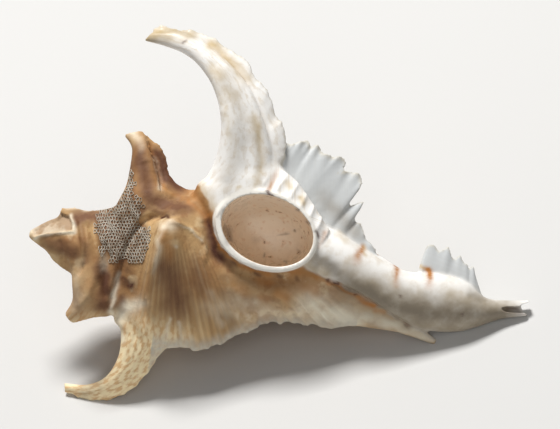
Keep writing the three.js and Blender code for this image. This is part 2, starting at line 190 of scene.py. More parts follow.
@dataclass
class Loft:
    """A closed form made of rings of points, with its region and where each point lies on it."""

    region: Region
    rings: Points

    def mesh(self, bm: bmesh.types.BMesh) -> None:
        """Add the form to a bmesh: a grid that is bent onto the rings, welded along its seam and closed.

        Args:
            bm: The mesh that takes the form.
        """
        count, around = self.rings.shape[:2]
        made = bmesh.ops.create_grid(bm, x_segments=around, y_segments=count - 1, size=1.0)["verts"]
        seam = np.concatenate([self.rings, self.rings[:, :1]], axis=1).reshape(-1, 3)
        order = np.array([vert.co for vert in made])
        columns = np.rint((order[:, 0] + 1) / 2 * around).astype(int)
        rows = np.rint((order[:, 1] + 1) / 2 * (count - 1)).astype(int)
        for vert, place in zip(made, rows * (around + 1) + columns):
            vert.co = seam[place]
        bmesh.ops.remove_doubles(bm, verts=made, dist=1e-5)
        alive = [vert for vert in made if vert.is_valid]
        edges = [edge for edge in {e for vert in alive for e in vert.link_edges} if edge.is_boundary]
        bmesh.ops.holes_fill(bm, edges=edges, sides=0)


@dataclass
class Blade:
    """A blade or horn between two edge curves, with a flat oval section."""

    region: Region
    inner: Sequence[Vec3]
    outer: Sequence[Vec3]
    thick: Sequence[float]
    rim: float = 1.0
    pleats: float = 0.0
    pleat_depth: float = 0.0
    knobby: bool = False  # whether the pleats are round knobs with narrow grooves between
    ripples: float = 0.0
    ripple_depth: float = 0.0
    ragged: float = 0.0
    steps: int = 90
    around: int = 36

    def lift(self, shares: Points, width: Points) -> Points:
        """Return how far the pleats and the ripples of the edge lift the blade.

        Args:
            shares: The places along the blade, from 0 to 1.
            width: The places across it, from 0 at the inner edge to 1 at the outer.

        Returns:
            A lift in mm for each place along (rows) and across (columns).
        """
        if self.knobby:
            beat = 2 * np.sqrt(np.abs(np.sin(np.pi * self.pleats * shares))) - 1
        else:
            wander = 0.9 * np.sin(2 * np.pi * 1.7 * shares + 0.5)
            swell = 0.7 + 0.3 * np.sin(2 * np.pi * 2.3 * shares + 1.0)
            beat = np.sin(2 * np.pi * self.pleats * shares + wander) * swell
        ripple = np.sin(2 * np.pi * self.ripples * shares + 1.6 * np.sin(9 * shares))
        pleats = self.pleat_depth * width[None] * beat[:, None]
        return pleats + self.ripple_depth * width[None] ** 9 * ripple[:, None]

    def edges(self, shares: Points) -> tuple[Points, Points]:
        """Return the places on the inner and on the outer edge at shares along the blade."""
        return curve_through(self.inner, shares), curve_through(self.outer, shares)

    def loft(self) -> Loft:
        """Draw the blade.

        Returns:
            Its rings, from its first end to its last.
        """
        shares = np.linspace(0.0, 1.0, self.steps + 1)
        low, high = self.edges(shares)
        outwards = (high - low) / np.linalg.norm(high - low, axis=1)[:, None]
        high = high + outwards * ragged(shares * RAGGED_SPAN, self.ragged)[:, None]
        across = high - low
        nudge = 0.01
        ahead = np.add(*self.edges(np.minimum(1, shares + nudge)))
        behind = np.add(*self.edges(np.maximum(0, shares - nudge)))
        normal = np.cross(across, ahead - behind)
        normal /= np.linalg.norm(normal, axis=1)[:, None]
        rows = [(index / (len(self.thick) - 1), value) for index, value in enumerate(self.thick)]
        thick = read_table(rows, shares)[:, 0]
        angle = 2 * np.pi * np.arange(self.around) / self.around
        width = (1 - np.cos(angle)) / 2
        half = thick[:, None] / 2 * (1 + (self.rim - 1) * width)[None]
        lift = half * np.sin(angle)[None] + self.lift(shares, width)
        rings = low[:, None] + across[:, None] * width[None, :, None] + normal[:, None] * lift[..., None]
        return Loft(self.region, rings)


@dataclass
class Mouth:
    """The oval mouth in the plane of the front, its rim and the room inside it."""

    x: float = 30.7
    y: float = 5.1
    long: float = 6.04
    short: float = 4.37
    turn: float = -12.7
    top: float = 7.9
    thin: float = 0.56
    thick: float = 1.05
    thick_side: float = 215.0
    foot: float = 4.6
    flare: float = 0.55
    sink: float = 0.6  # how much lower the rim is on its thin side
    hollow: Sequence[tuple[float, float, float, float]] = (
        (-1.5, 0.12, 0.5, -0.7), (-1.2, 0.44, 0.5, -0.7), (-0.2, 0.70, 0.4, -0.7), (1.6, 0.86, 0.2, -0.6),
        (3.9, 0.98, 0.1, -0.3), (6.4, 1.01, 0.0, 0.0), (8.6, 1.03, 0.0, 0.0),
    )
    around: int = 120

    def angles(self) -> Points:
        """Return the angles of the points round the mouth, in radians."""
        return 2 * np.pi * np.arange(self.around) / self.around

    def oval(self, height: float, grow: Points | float = 0.0, share: float = 1.0,
             shift: tuple[float, float] = (0, 0)) -> Points:
        """Return an oval round the mouth's middle.

        Args:
            height: Its place along Z.
            grow: How much wider than the mouth it is, one value or one for each point.
            share: Its size as a share of the mouth's, before it grows.
            shift: How far its middle moves along X and Y.

        Returns:
            The oval's points.
        """
        angle = self.angles()
        turn = math.radians(self.turn)
        long = (self.long * share + grow) * np.cos(angle)
        short = (self.short * share + grow) * np.sin(angle)
        return np.stack([
            self.x + shift[0] + long * math.cos(turn) - short * math.sin(turn),
            self.y + shift[1] + long * math.sin(turn) + short * math.cos(turn),
            np.full(self.around, height),
        ], axis=1)

    def wall(self, angle: Points) -> Points:
        """Return the rim's thickness at angles round the mouth, in radians."""
        return self.thin + (self.thick - self.thin) * (1 + np.cos(angle - math.radians(self.thick_side))) / 2

    def drop(self, angle: Points) -> Points:
        """Return how far the rim lies below its highest place at angles round the mouth, in radians."""
        return self.sink * (1 - np.cos(angle - math.radians(self.thick_side))) / 2

    def rim_loft(self) -> Loft:
        """Draw the rim, with a foot that flares into the whorl.

        Returns:
            The rim, filled.
        """
        wall, height = self.wall(self.angles()), self.top - self.foot
        rings = np.array([
            self.oval(self.foot - 2), self.oval(self.foot, wall + self.flare),
            self.oval(self.foot + 0.4 * height, wall + 0.25 * self.flare), self.oval(self.top - 0.45, wall),
            self.oval(self.top - 0.12, wall * 0.95), self.oval(self.top, wall * 0.72),
        ])
        rings[2:, :, 2] -= self.drop(self.angles())
        return Loft(Region.RIM, rings)

    def hollow_loft(self) -> Loft:
        """Draw the room inside, which is cut out.

        Returns:
            The room.
        """
        keys = np.array([row[0] for row in self.hollow])
        heights = np.linspace(keys[0], keys[-1], 48)
        rows = read_table(self.hollow, heights)
        rings = [self.oval(z, share=row[0], shift=(row[1], row[2])) for z, row in zip(heights, rows)]
        return Loft(Region.HOLLOW, np.array(rings))


@dataclass
class Whorls:
    """The spire and the body whorl, as radii round the coiling axis."""

    angles: Sequence[float] = (0, 30, 60, 90, 120, 145, 165, 180, 215, 250, 270, 290, 325)
    radii: Sequence[Sequence[float]] = (
        (0.0, 0.6, 0.5, 0.5, 0.5, 0.5, 0.5, 0.5, 0.5, 0.5, 0.5, 0.5, 0.5, 0.5),
        (1.8, 1.9, 1.6, 1.5, 1.5, 1.5, 1.5, 1.5, 1.4, 1.4, 1.4, 1.5, 1.4, 1.6),
        (4.0, 3.3, 3.0, 2.7, 2.6, 2.7, 2.8, 3.0, 2.8, 2.4, 2.6, 3.2, 2.6, 2.6),
        (6.5, 3.9, 3.9, 3.6, 3.7, 3.8, 3.9, 4.2, 3.9, 3.2, 3.4, 4.4, 3.4, 3.4),
        (9.0, 4.5, 4.6, 4.4, 4.5, 4.6, 5.0, 5.6, 5.2, 4.2, 4.0, 5.0, 4.0, 4.2),
        (11.5, 5.6, 5.6, 4.9, 4.8, 5.0, 5.8, 7.4, 6.6, 5.0, 4.6, 5.6, 4.8, 5.2),
        (14.0, 6.8, 6.8, 5.6, 5.2, 5.4, 6.8, 9.6, 7.8, 5.8, 5.6, 6.8, 5.6, 6.2),
        (16.0, 7.6, 7.6, 7.4, 6.8, 6.8, 8.2, 11.2, 8.8, 6.6, 6.4, 7.8, 6.4, 7.0),
        (18.0, 8.2, 8.4, 9.0, 8.2, 7.8, 9.2, 12.2, 9.0, 7.2, 7.2, 8.8, 7.0, 7.6),
        (21.0, 9.0, 9.4, 8.2, 7.5, 7.8, 9.2, 12.2, 8.6, 7.6, 7.8, 9.4, 7.6, 8.2),
        (25.0, 9.4, 10.0, 7.8, 6.9, 7.4, 8.8, 11.8, 8.2, 7.6, 8.0, 9.6, 7.8, 8.4),
        (29.0, 9.4, 10.2, 7.6, 6.6, 6.9, 7.6, 9.3, 7.2, 7.0, 7.6, 9.4, 7.6, 8.2),
        (33.0, 8.8, 9.6, 7.4, 6.4, 6.4, 6.6, 7.0, 5.8, 6.0, 6.8, 8.4, 6.8, 7.4),
        (37.0, 7.4, 8.2, 6.9, 6.0, 5.7, 6.0, 6.6, 5.0, 5.0, 5.6, 6.8, 5.6, 6.2),
        (41.0, 5.8, 6.4, 5.8, 5.2, 4.8, 5.4, 6.5, 4.6, 4.0, 4.4, 5.4, 4.4, 4.8),
        (44.0, 4.6, 5.0, 4.9, 4.4, 3.8, 4.6, 5.7, 3.8, 3.0, 3.2, 3.8, 3.2, 3.4),
        (50.0, 2.0, 2.4, 2.8, 2.8, 2.4, 2.4, 2.4, 2.2, 1.8, 1.6, 1.6, 1.6, 1.8),
    )
    suture_last: float = 14.6
    suture_angle: float = 90.0
    suture_growth: float = 1.62
    suture_turns: int = 4
    suture_depth: float = 0.11
    suture_width: float = 0.085
    knobs: Sequence[tuple[float, float, float, float, float]] = (
        # along, angle, height, reach, spread
        (18.3, 68.0, 1.0, 2.0, 20.0), (17.2, 118.0, 0.7, 1.3, 34.0),
    )
    flange_ragged: float = 0.35
    flange_thin: float = 0.5
    rings: int = 200
    around: int = 200

    def radius(self, along: Points, angle: Points) -> Points:
        """Return the outer surface's distance from the axis.

        Args:
            along: Places along the axis.
            angle: Degrees round it.

        Returns:
            A radius for each place (rows) and angle (columns).
        """
        rows = read_table(self.radii, along)
        keys = np.array(self.angles, float)
        laps = np.concatenate([keys + 360 * lap for lap in (-1, 0, 1)])
        count = len(keys)
        table = np.hstack([laps[:, None], np.tile(rows.T, (3, 1))])[count - 2:2 * count + 2]
        radius = read_table(table, angle).T
        wound = ((angle - self.suture_angle) / 360) % 1
        groove = np.zeros_like(radius)
        for turn in range(1, self.suture_turns + 1):
            place = self.suture_last * self.suture_growth ** (wound - turn)
            groove = np.maximum(groove, hump((along[:, None] - place) / (self.suture_width * place)))
        radius = radius * (1 - self.suture_depth * groove)
        flange = (ease((along - 17) / 3) * ease((46 - along) / 3))[:, None]
        wiggle = ragged(along, self.flange_ragged)[:, None]
        radius = radius + hump((angle - 166) / 5)[None] * wiggle * flange
        sides = hump((angle - 154) / 6) + hump((angle - 177) / 6)
        radius = radius - self.flange_thin * sides[None] * flange
        for place, middle, height, reach, spread in self.knobs:
            off = (angle - middle + 180) % 360 - 180
            radius = radius + height * hump(off / spread)[None] * hump((along - place) / reach)[:, None]
        return radius

    def loft(self) -> Loft:
        """Draw the whorls.

        Returns:
            Their rings, from the apex to the canal.
        """
        along = np.linspace(0.0, self.radii[-1][0], self.rings + 1)
        angle = 360 * np.arange(self.around) / self.around
        radius = self.radius(along, angle)
        turn = np.radians(angle)
        places = np.broadcast_to(along[:, None], radius.shape)
        rings = np.stack([places, radius * np.cos(turn), radius * np.sin(turn)], axis=2)
        return Loft(Region.BODY, rings)


@dataclass
class Canal:
    """The long siphonal canal and its bore at the end."""

    table: Sequence[tuple[float, float, float, float, float]] = (
        # place along the axis, then the middle's Y and Z and the half widths in Y and Z
        (33.0, 3.6, 2.6, 2.6, 2.6), (36.5, 3.9, 3.2, 3.0, 3.4), (40.0, 2.9, 3.0, 3.3, 3.5),
        (44.0, 1.0, 2.4, 3.4, 3.4), (49.0, -0.8, 1.4, 3.4, 3.2), (54.0, -0.9, 0.6, 3.8, 3.1),
        (57.5, -0.9, 0.2, 3.3, 2.8), (60.0, -1.2, 0.0, 1.9, 2.0), (62.5, -0.6, -0.2, 1.25, 1.3),
        (65.8, 0.1, -0.5, 1.05, 1.0),
    )
    bore: Sequence[tuple[float, float, float, float, float]] = (
        # the same columns; it breaks out on the front as the pit near the end
        (62.2, -0.45, 0.8, 0.05, 0.1), (62.8, -0.45, 0.9, 0.3, 0.7), (63.6, -0.42, 0.95, 0.44, 0.9),
        (64.6, -0.3, 0.85, 0.5, 1.0), (65.2, -0.1, 0.5, 0.6, 0.9), (66.6, 0.0, 0.3, 0.7, 0.8),
    )
    notch: Sequence[tuple[float, float]] = (
        (66.8, 1.1), (65.7, 0.86), (64.9, 0.45), (64.85, 0.2), (65.2, -0.45), (65.9, -0.84), (66.8, -1.0),
    )

    rings: int = 120
    around: int = 60
    bore_rings: int = 30
    bore_around: int = 28

    def tube(self, region: Region, rows: Sequence[Sequence[float]], count: int, around: int) -> Loft:
        """Draw a form of oval sections along the axis.

        Args:
            region: What the form is.
            rows: Its sections.
            count: How many steps along it.
            around: How many points round it.

        Returns:
            The form.
        """
        along = np.linspace(rows[0][0], rows[-1][0], count + 1)
        y, z, half_y, half_z = read_table(rows, along).T
        angle = 2 * np.pi * np.arange(around) / around
        rings = np.stack([
            np.broadcast_to(along[:, None], (count + 1, around)),
            y[:, None] + half_y[:, None] * np.cos(angle), z[:, None] + half_z[:, None] * np.sin(angle),
        ], axis=2)
        return Loft(region, rings)

    def loft(self) -> Loft:
        """Return the canal's outside."""
        return self.tube(Region.CANAL, self.table, self.rings, self.around)

    def bore_loft(self) -> Loft:
        """Return the bore that is cut into the canal's end."""
        return self.tube(Region.HOLLOW, self.bore, self.bore_rings, self.bore_around)

    def notch_loft(self) -> Loft:
        """Draw the notch that splits the canal's end into two lobes.

        Returns:
            The notch.
        """
        corners = np.array(self.notch)
        rings = [np.column_stack([corners, np.full(len(corners), height)]) for height in (-3.0, 3.0)]
        return Loft(Region.HOLLOW, np.array(rings))


BLADES = (
    Blade(
        Region.LIP_SPINE,
        inner=((22.0, 2.0, 4.6), (20.6, 8.8, 4.6), (21.9, 11.0, 5.2), (22.8, 14.2, 6.0),
               (22.6, 18.6, 6.6), (20.6, 23.0, 6.4), (17.4, 25.9, 5.6), (14.0, 26.8, 4.6), (11.2, 27.1, 3.9)),
        outer=((33.4, 2.0, 4.6), (32.0, 8.6, 4.8), (30.5, 12.6, 5.0), (29.5, 16.0, 5.4),
               (27.8, 19.6, 6.0), (25.4, 23.3, 5.8), (21.2, 26.7, 5.0), (16.4, 28.9, 4.5), (12.3, 28.5, 3.9)),
        thick=(6.4, 6.2, 5.2, 4.2, 3.6, 3.0, 2.5, 1.9, 1.0), steps=150, around=60,
    ),
    Blade(
        Region.LIP_CREST,
        inner=((28.0, 10.6, 4.6), (28.0, 14.4, 4.7), (27.2, 18.0, 4.8), (25.0, 22.0, 4.8),
               (21.2, 25.0, 4.2), (16.4, 27.4, 3.8), (12.4, 27.8, 3.6)),
        outer=((30.6, 12.6, 4.4), (31.3, 14.5, 4.3), (31.6, 15.6, 4.2), (30.8, 18.9, 4.3),
               (29.7, 20.0, 4.2), (27.9, 23.3, 4.6), (26.3, 24.5, 4.6), (24.6, 26.8, 4.4),
               (22.2, 27.7, 4.2), (20.0, 28.9, 4.0), (17.0, 29.5, 3.9), (15.2, 29.2, 3.8),
               (13.2, 29.5, 3.7), (12.1, 28.8, 3.6)),
        thick=(3.0, 2.2, 1.5, 1.3, 1.2), rim=0.5, ragged=0.16, steps=200,
    ),
    Blade(
        Region.LIP_WING,
        inner=((28.5, 9.5, 3.6), (31.5, 8.5, 3.6), (35.0, 6.4, 3.4), (39.0, 4.0, 3.0), (44.6, 1.6, 2.4)),
        outer=((30.2, 16.2, 3.2), (31.4, 16.9, 3.0), (32.2, 16.7, 2.9), (33.2, 17.4, 2.8),
               (34.2, 17.5, 2.6), (34.7, 16.9, 2.5), (35.6, 17.2, 2.4), (36.3, 16.4, 2.3),
               (37.7, 15.9, 2.2), (38.7, 16.2, 2.1), (39.7, 15.3, 2.0), (38.6, 14.1, 2.0),
               (40.0, 14.4, 1.9), (41.3, 14.3, 1.8), (42.0, 12.9, 1.8), (40.5, 9.9, 2.0),
               (42.6, 10.8, 1.8), (41.8, 8.4, 1.8), (42.8, 7.7, 1.8), (43.3, 6.3, 1.8), (44.5, 5.3, 1.8),
               (45.4, 4.0, 1.9), (46.2, 2.8, 2.0)),
        thick=(2.2, 2.0, 1.8, 1.6), rim=0.36, pleats=5.5, pleat_depth=0.22, ripples=17, ripple_depth=0.18,
        ragged=0.12, steps=280, around=60,
    ),
    Blade(
        Region.LIP_RIDGE,
        inner=((28.0, 7.6, 5.6), (31.5, 7.2, 5.8), (34.2, 5.8, 5.8), (36.0, 4.0, 5.6), (36.6, 2.2, 5.0)),
        outer=((30.6, 13.8, 5.0), (33.4, 12.1, 5.2), (35.6, 9.9, 5.2), (37.6, 7.6, 5.0), (39.4, 5.4, 4.4)),
        thick=(3.8, 4.0, 3.8, 3.4), rim=0.8, pleats=7, pleat_depth=0.28, knobby=True, steps=160, around=48,
    ),
    Blade(
        Region.CANAL_FIN,
        inner=((50.6, 1.0, 0.8), (53.5, 1.0, 0.6), (57.0, 0.4, 0.3), (60.2, -0.4, 0.0)),
        outer=((51.2, 3.2, 0.8), (51.9, 4.9, 0.8), (51.5, 6.2, 0.8), (52.5, 6.5, 0.7), (53.1, 5.9, 0.7),
               (53.8, 6.2, 0.6), (54.4, 6.5, 0.6), (55.0, 5.3, 0.5), (55.5, 5.2, 0.5), (56.0, 5.7, 0.4),
               (56.6, 4.9, 0.4), (57.2, 4.6, 0.4), (57.3, 3.9, 0.3), (57.9, 4.6, 0.3), (58.3, 3.6, 0.2),
               (58.9, 2.3, 0.1), (59.7, 0.6, 0.0)),
        thick=(1.8, 1.8, 1.6, 1.4), rim=0.36, pleats=2.5, pleat_depth=0.08, ripples=9, ripple_depth=0.08,
        steps=200,
    ),
    Blade(
        Region.LOW_SPINE,
        inner=((15.0, -2.0, 1.0), (12.6, -8.6, 1.6), (13.7, -10.6, 1.5), (13.9, -13.8, 0.8),
               (12.7, -16.8, -0.4), (10.4, -18.3, -1.8), (7.4, -18.6, -3.0)),
        outer=((27.0, -2.0, 1.2), (23.6, -9.6, 1.8), (19.7, -12.4, 1.7), (18.2, -15.4, 0.8),
               (15.6, -18.6, -0.6), (11.8, -20.3, -2.2), (7.6, -19.8, -3.0)),
        thick=(4.6, 4.2, 3.8, 3.2, 2.5, 1.8, 0.9), rim=0.6, ragged=0.18, steps=150, around=48,
    ),
    Blade(
        Region.BACK_SPINE,
        inner=((17.0, 0.0, -3.0), (17.4, 0.0, -8.0), (19.6, 0.0, -10.8), (19.4, -0.2, -13.0),
               (17.6, -0.4, -14.9), (14.8, -0.6, -16.2), (12.4, -0.8, -16.6)),
        outer=((31.0, 0.0, -3.0), (29.6, 0.0, -8.4), (27.0, 0.0, -11.6), (24.6, -0.2, -14.2),
               (21.4, -0.4, -16.6), (16.8, -0.6, -17.9), (12.4, -0.8, -17.6)),
        thick=(6.4, 5.0, 3.8, 3.1, 2.4, 1.8, 1.0), steps=120, around=48,
    ),
    Blade(
        Region.BACK_WING,
        inner=((24.0, 0.0, -6.0), (31.0, 0.0, -5.0), (37.0, 0.0, -3.2), (45.0, 0.0, -1.4)),
        outer=((25.6, -0.2, -12.6), (28.2, -0.2, -12.8), (29.6, -0.2, -11.8), (32.0, -0.1, -12.0),
               (34.6, 0.0, -11.2), (35.6, 0.0, -9.8), (38.4, 0.0, -9.6), (40.2, 0.0, -8.0),
               (42.6, 0.0, -7.2), (45.0, 0.0, -5.0), (47.4, 0.0, -3.0)),
        thick=(3.4, 3.0, 2.4), rim=0.28, pleats=6, pleat_depth=0.3, ragged=0.2, steps=200,
    ),
    Blade(
        Region.OLD_SPINE,
        inner=((9.5, 0.5, 1.6), (10.6, 5.0, 2.4), (11.6, 8.0, 2.4), (11.8, 11.0, 2.0), (11.6, 13.2, 1.4),
               (10.4, 14.6, 0.8)),
        outer=((21.5, 0.5, 3.0), (18.6, 7.2, 3.2), (16.4, 9.2, 2.6), (15.2, 11.8, 2.1), (14.0, 14.0, 1.6),
               (12.7, 15.5, 1.0)),
        thick=(6.0, 5.6, 4.4, 3.2, 2.3, 1.3), ragged=0.1, around=48,
    ),
    Blade(
        Region.OLD_SPINE,
        inner=((17.0, 3.0, 2.0), (16.4, 7.4, 1.8), (14.9, 9.8, 1.3), (13.7, 12.0, 0.9), (12.6, 14.2, 0.6)),
        outer=((23.0, 5.6, 2.2), (20.2, 8.5, 1.8), (18.3, 9.4, 1.5), (16.9, 10.6, 1.2), (16.4, 12.2, 0.9),
               (15.4, 13.8, 0.8), (14.0, 14.6, 0.7), (13.3, 15.1, 0.6)),
        thick=(3.2, 2.4, 1.8, 1.4, 1.0), rim=0.5, ragged=0.14, steps=120,
    ),
    Blade(
        Region.EARLY_FLANGE,
        inner=((3.0, 0.4, 0.8), (7.0, 1.0, 1.2), (12.0, 2.0, 1.8)),
        outer=((3.7, 4.2, 0.8), (5.4, 4.4, 1.0), (7.4, 4.4, 1.2), (9.4, 4.9, 1.6), (11.0, 5.6, 2.2),
               (12.0, 6.8, 2.4)),
        thick=(1.6, 2.6, 4.2), rim=0.2, ragged=0.08,
    ),
    Blade(
        Region.OLD_SPINE,
        inner=((6.0, -1.0, 1.6), (6.4, -4.8, 2.0), (6.9, -7.4, 1.4), (6.2, -9.5, 0.6)),
        outer=((14.0, -1.0, 1.6), (13.4, -7.8, 2.2), (9.8, -9.5, 1.4), (7.4, -10.6, 0.6)),
        thick=(5.2, 4.4, 2.8, 1.2), ragged=0.1,
    ),
    Blade(
        Region.EARLY_FLANGE,
        inner=((3.0, 0.0, 0.8), (5.0, -0.6, 1.0), (7.6, -1.4, 1.4)),
        outer=((3.2, -2.7, 0.8), (3.9, -3.3, 0.9), (5.4, -4.1, 1.0), (6.8, -4.6, 1.3), (8.0, -5.2, 1.6)),
        thick=(1.6, 2.4, 3.6), rim=0.24, ragged=0.16, steps=120,
    ),
    Blade(
        Region.OLD_SPINE,
        inner=((10.0, 0.0, -1.0), (10.4, 0.0, -5.4), (11.8, 0.0, -8.0), (11.4, 0.0, -10.4)),
        outer=((19.0, 0.0, -1.0), (18.0, 0.0, -6.0), (15.6, 0.0, -9.2), (13.2, 0.0, -11.2)),
        thick=(4.6, 3.8, 2.4, 1.0),
    ),
    Blade(
        Region.EARLY_FLANGE,
        inner=((4.0, 0.0, -0.6), (8.0, 0.0, -1.4), (11.6, 0.0, -2.4)),
        outer=((4.6, 0.0, -3.6), (6.2, 0.0, -4.8), (8.4, 0.0, -5.2), (10.4, 0.0, -5.6), (12.4, 0.0, -6.4)),
        thick=(1.8, 2.4, 3.0), rim=0.3,
    ),
    Blade(
        Region.STUB,
        inner=((36.0, -0.6, 1.4), (44.0, -1.6, 0.9), (49.0, -2.8, 0.8), (54.6, -5.7, 0.1)),
        outer=((36.0, -4.8, 1.2), (44.0, -5.5, 0.8), (49.6, -5.6, 0.6), (54.4, -6.4, 0.0)),
        thick=(3.4, 3.0, 2.2, 0.7),
    ),
)


@dataclass
class RestPose:
    """The turn and the move from the growth frame, in mm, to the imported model's frame, in metres."""

    up: Vec3 = REST_UP
    place: Vec3 = REST_PLACE

    def basis(self) -> Matrix:
        """Work out the turn alone.

        Returns:
            A matrix of three rows.
        """
        up = Vector(self.up).normalized()
        side = up.cross(Vector((1, 0, 0))).normalized()
        along = side.cross(up)
        return Matrix((along, side, up))

    def matrix(self) -> Matrix:
        """Return the whole transform."""
        return Matrix.Scale(MM, 4) @ Matrix.Translation(self.place) @ self.basis().to_4x4()


def front_view(points: Points) -> Points:
    """Find where points lie in the front view.

    Args:
        points: Places in the growth frame, one row each.

    Returns:
        How far each lies to the right and up, in mm.
    """
    turn = math.radians(PHOTO_TURN)
    right = points[:, 0] * math.cos(turn) + points[:, 1] * math.sin(turn)
    up = -points[:, 0] * math.sin(turn) + points[:, 1] * math.cos(turn)
    return np.stack([right, up], axis=1)


def away_from(path: Sequence[tuple[float, float]], places: Points) -> tuple[Points, Points, Points]:
    """Measure how far places are from a line of straight stretches.

    Args:
        path: The line's corners.
        places: The places, one row each.

    Returns:
        The distance, the side (1 to the left of the line's way, -1 to the right) and the share along
        the line.
    """
    corners = np.asarray(path, float)
    best = np.full(len(places), np.inf)
    side = np.ones(len(places))
    share = np.zeros(len(places))
    lengths = np.linalg.norm(np.diff(corners, axis=0), axis=1)
    starts = np.concatenate([[0], np.cumsum(lengths)])
    for start, end, length, run in zip(corners[:-1], corners[1:], lengths, starts):
        way = (end - start) / length
        off = places - start
        along = np.clip(off @ way, 0, length)
        gap = off - along[:, None] * way
        distance = np.hypot(gap[:, 0], gap[:, 1])
        near = distance < best
        best = np.where(near, distance, best)
        side = np.where(near, np.sign(way[0] * off[:, 1] - way[1] * off[:, 0]), side)
        share = np.where(near, (run + along) / starts[-1], share)
    return best, side, share


def inside_of(path: Sequence[tuple[float, float]], places: Points) -> Points:
    """Tell which places lie inside a closed outline.

    Args:
        path: The outline's corners.
        places: The places, one row each.

    Returns:
        True or False for each place.
    """
    corners = np.asarray(path, float)
    within = np.zeros(len(places), bool)
    x, y = places[:, 0], places[:, 1]
    for (x0, y0), (x1, y1) in zip(corners, np.roll(corners, -1, axis=0)):
        crosses = (y0 > y) != (y1 > y)
        within ^= crosses & (x < (x1 - x0) * (y - y0) / (y1 - y0 + 1e-12) + x0)
    return within


def front_gap(path: Sequence[tuple[float, float]], places: Points) -> Points:
    """Return how far places lie inside a closed outline; outside it the value is below 0."""
    edge, _, _ = away_from((*path, path[0]), places)
    return np.where(inside_of(path, places), edge, -edge)


@dataclass(frozen=True)
class Fold:
    """A ridge or a groove of the surface along a line of the front view."""

    path: tuple[tuple[float, float], ...]
    height: float  # above the surface, in mm; a groove's is below 0
    width: float
    lean: float = 0.0  # how much wider it is on its left side, as a share

    def rise(self, places: Points) -> Points:
        """Measure how high it stands.

        Args:
            places: Places of the front view.

        Returns:
            One height for each place, in mm.
        """
        distance, side, share = away_from(self.path, places)
        width = self.width * (1 + self.lean * (side > 0))
        ends = ease(share / 0.12) * ease((1 - share) / 0.12)
        return self.height * hump(distance / width) * (0.25 + 0.75 * ends)


@dataclass(frozen=True)
class Threads:
    """The spiral threads, which fan out from the knob and bend into the lower spine, in the front view."""

    middle: tuple[float, float] = (18.3, 9.6)
    base: float = -11.4
    bend: tuple[float, float] = (4.8, -11.4)

    def across(self, places: Points) -> tuple[Points, Points]:
        """Follow the threads.

        Args:
            places: Places of the front view.

        Returns:
            How far each lies across the threads and along them, in mm.
        """
        right, up = places[:, 0], places[:, 1]
        middle, top = self.middle
        drop = np.minimum(up, top - 7.0) - top
        fan = middle + (right - middle) * (self.base - top) / drop
        off_right, off_up = right - self.bend[0], up - self.bend[1]
        radius = np.hypot(off_right, off_up)
        low = ease((self.base + 0.6 - up) / 1.2) * ease((19.6 - fan) / 1.5)
        turned = self.base + radius * np.arctan2(off_up, off_right)
        return fan * (1 - low) + (self.bend[0] + radius) * low, up * (1 - low) + turned * low


# The edge of the worn window at the tip, in the front view
TIP_WINDOW = (
    (0.1, 1.0), (1.0, 1.9), (2.2, 2.6), (3.9, 3.0), (5.3, 2.5), (5.7, 1.8), (5.7, 0.5), (4.2, 0.3),
    (2.2, 0.1), (0.7, -0.3),
)

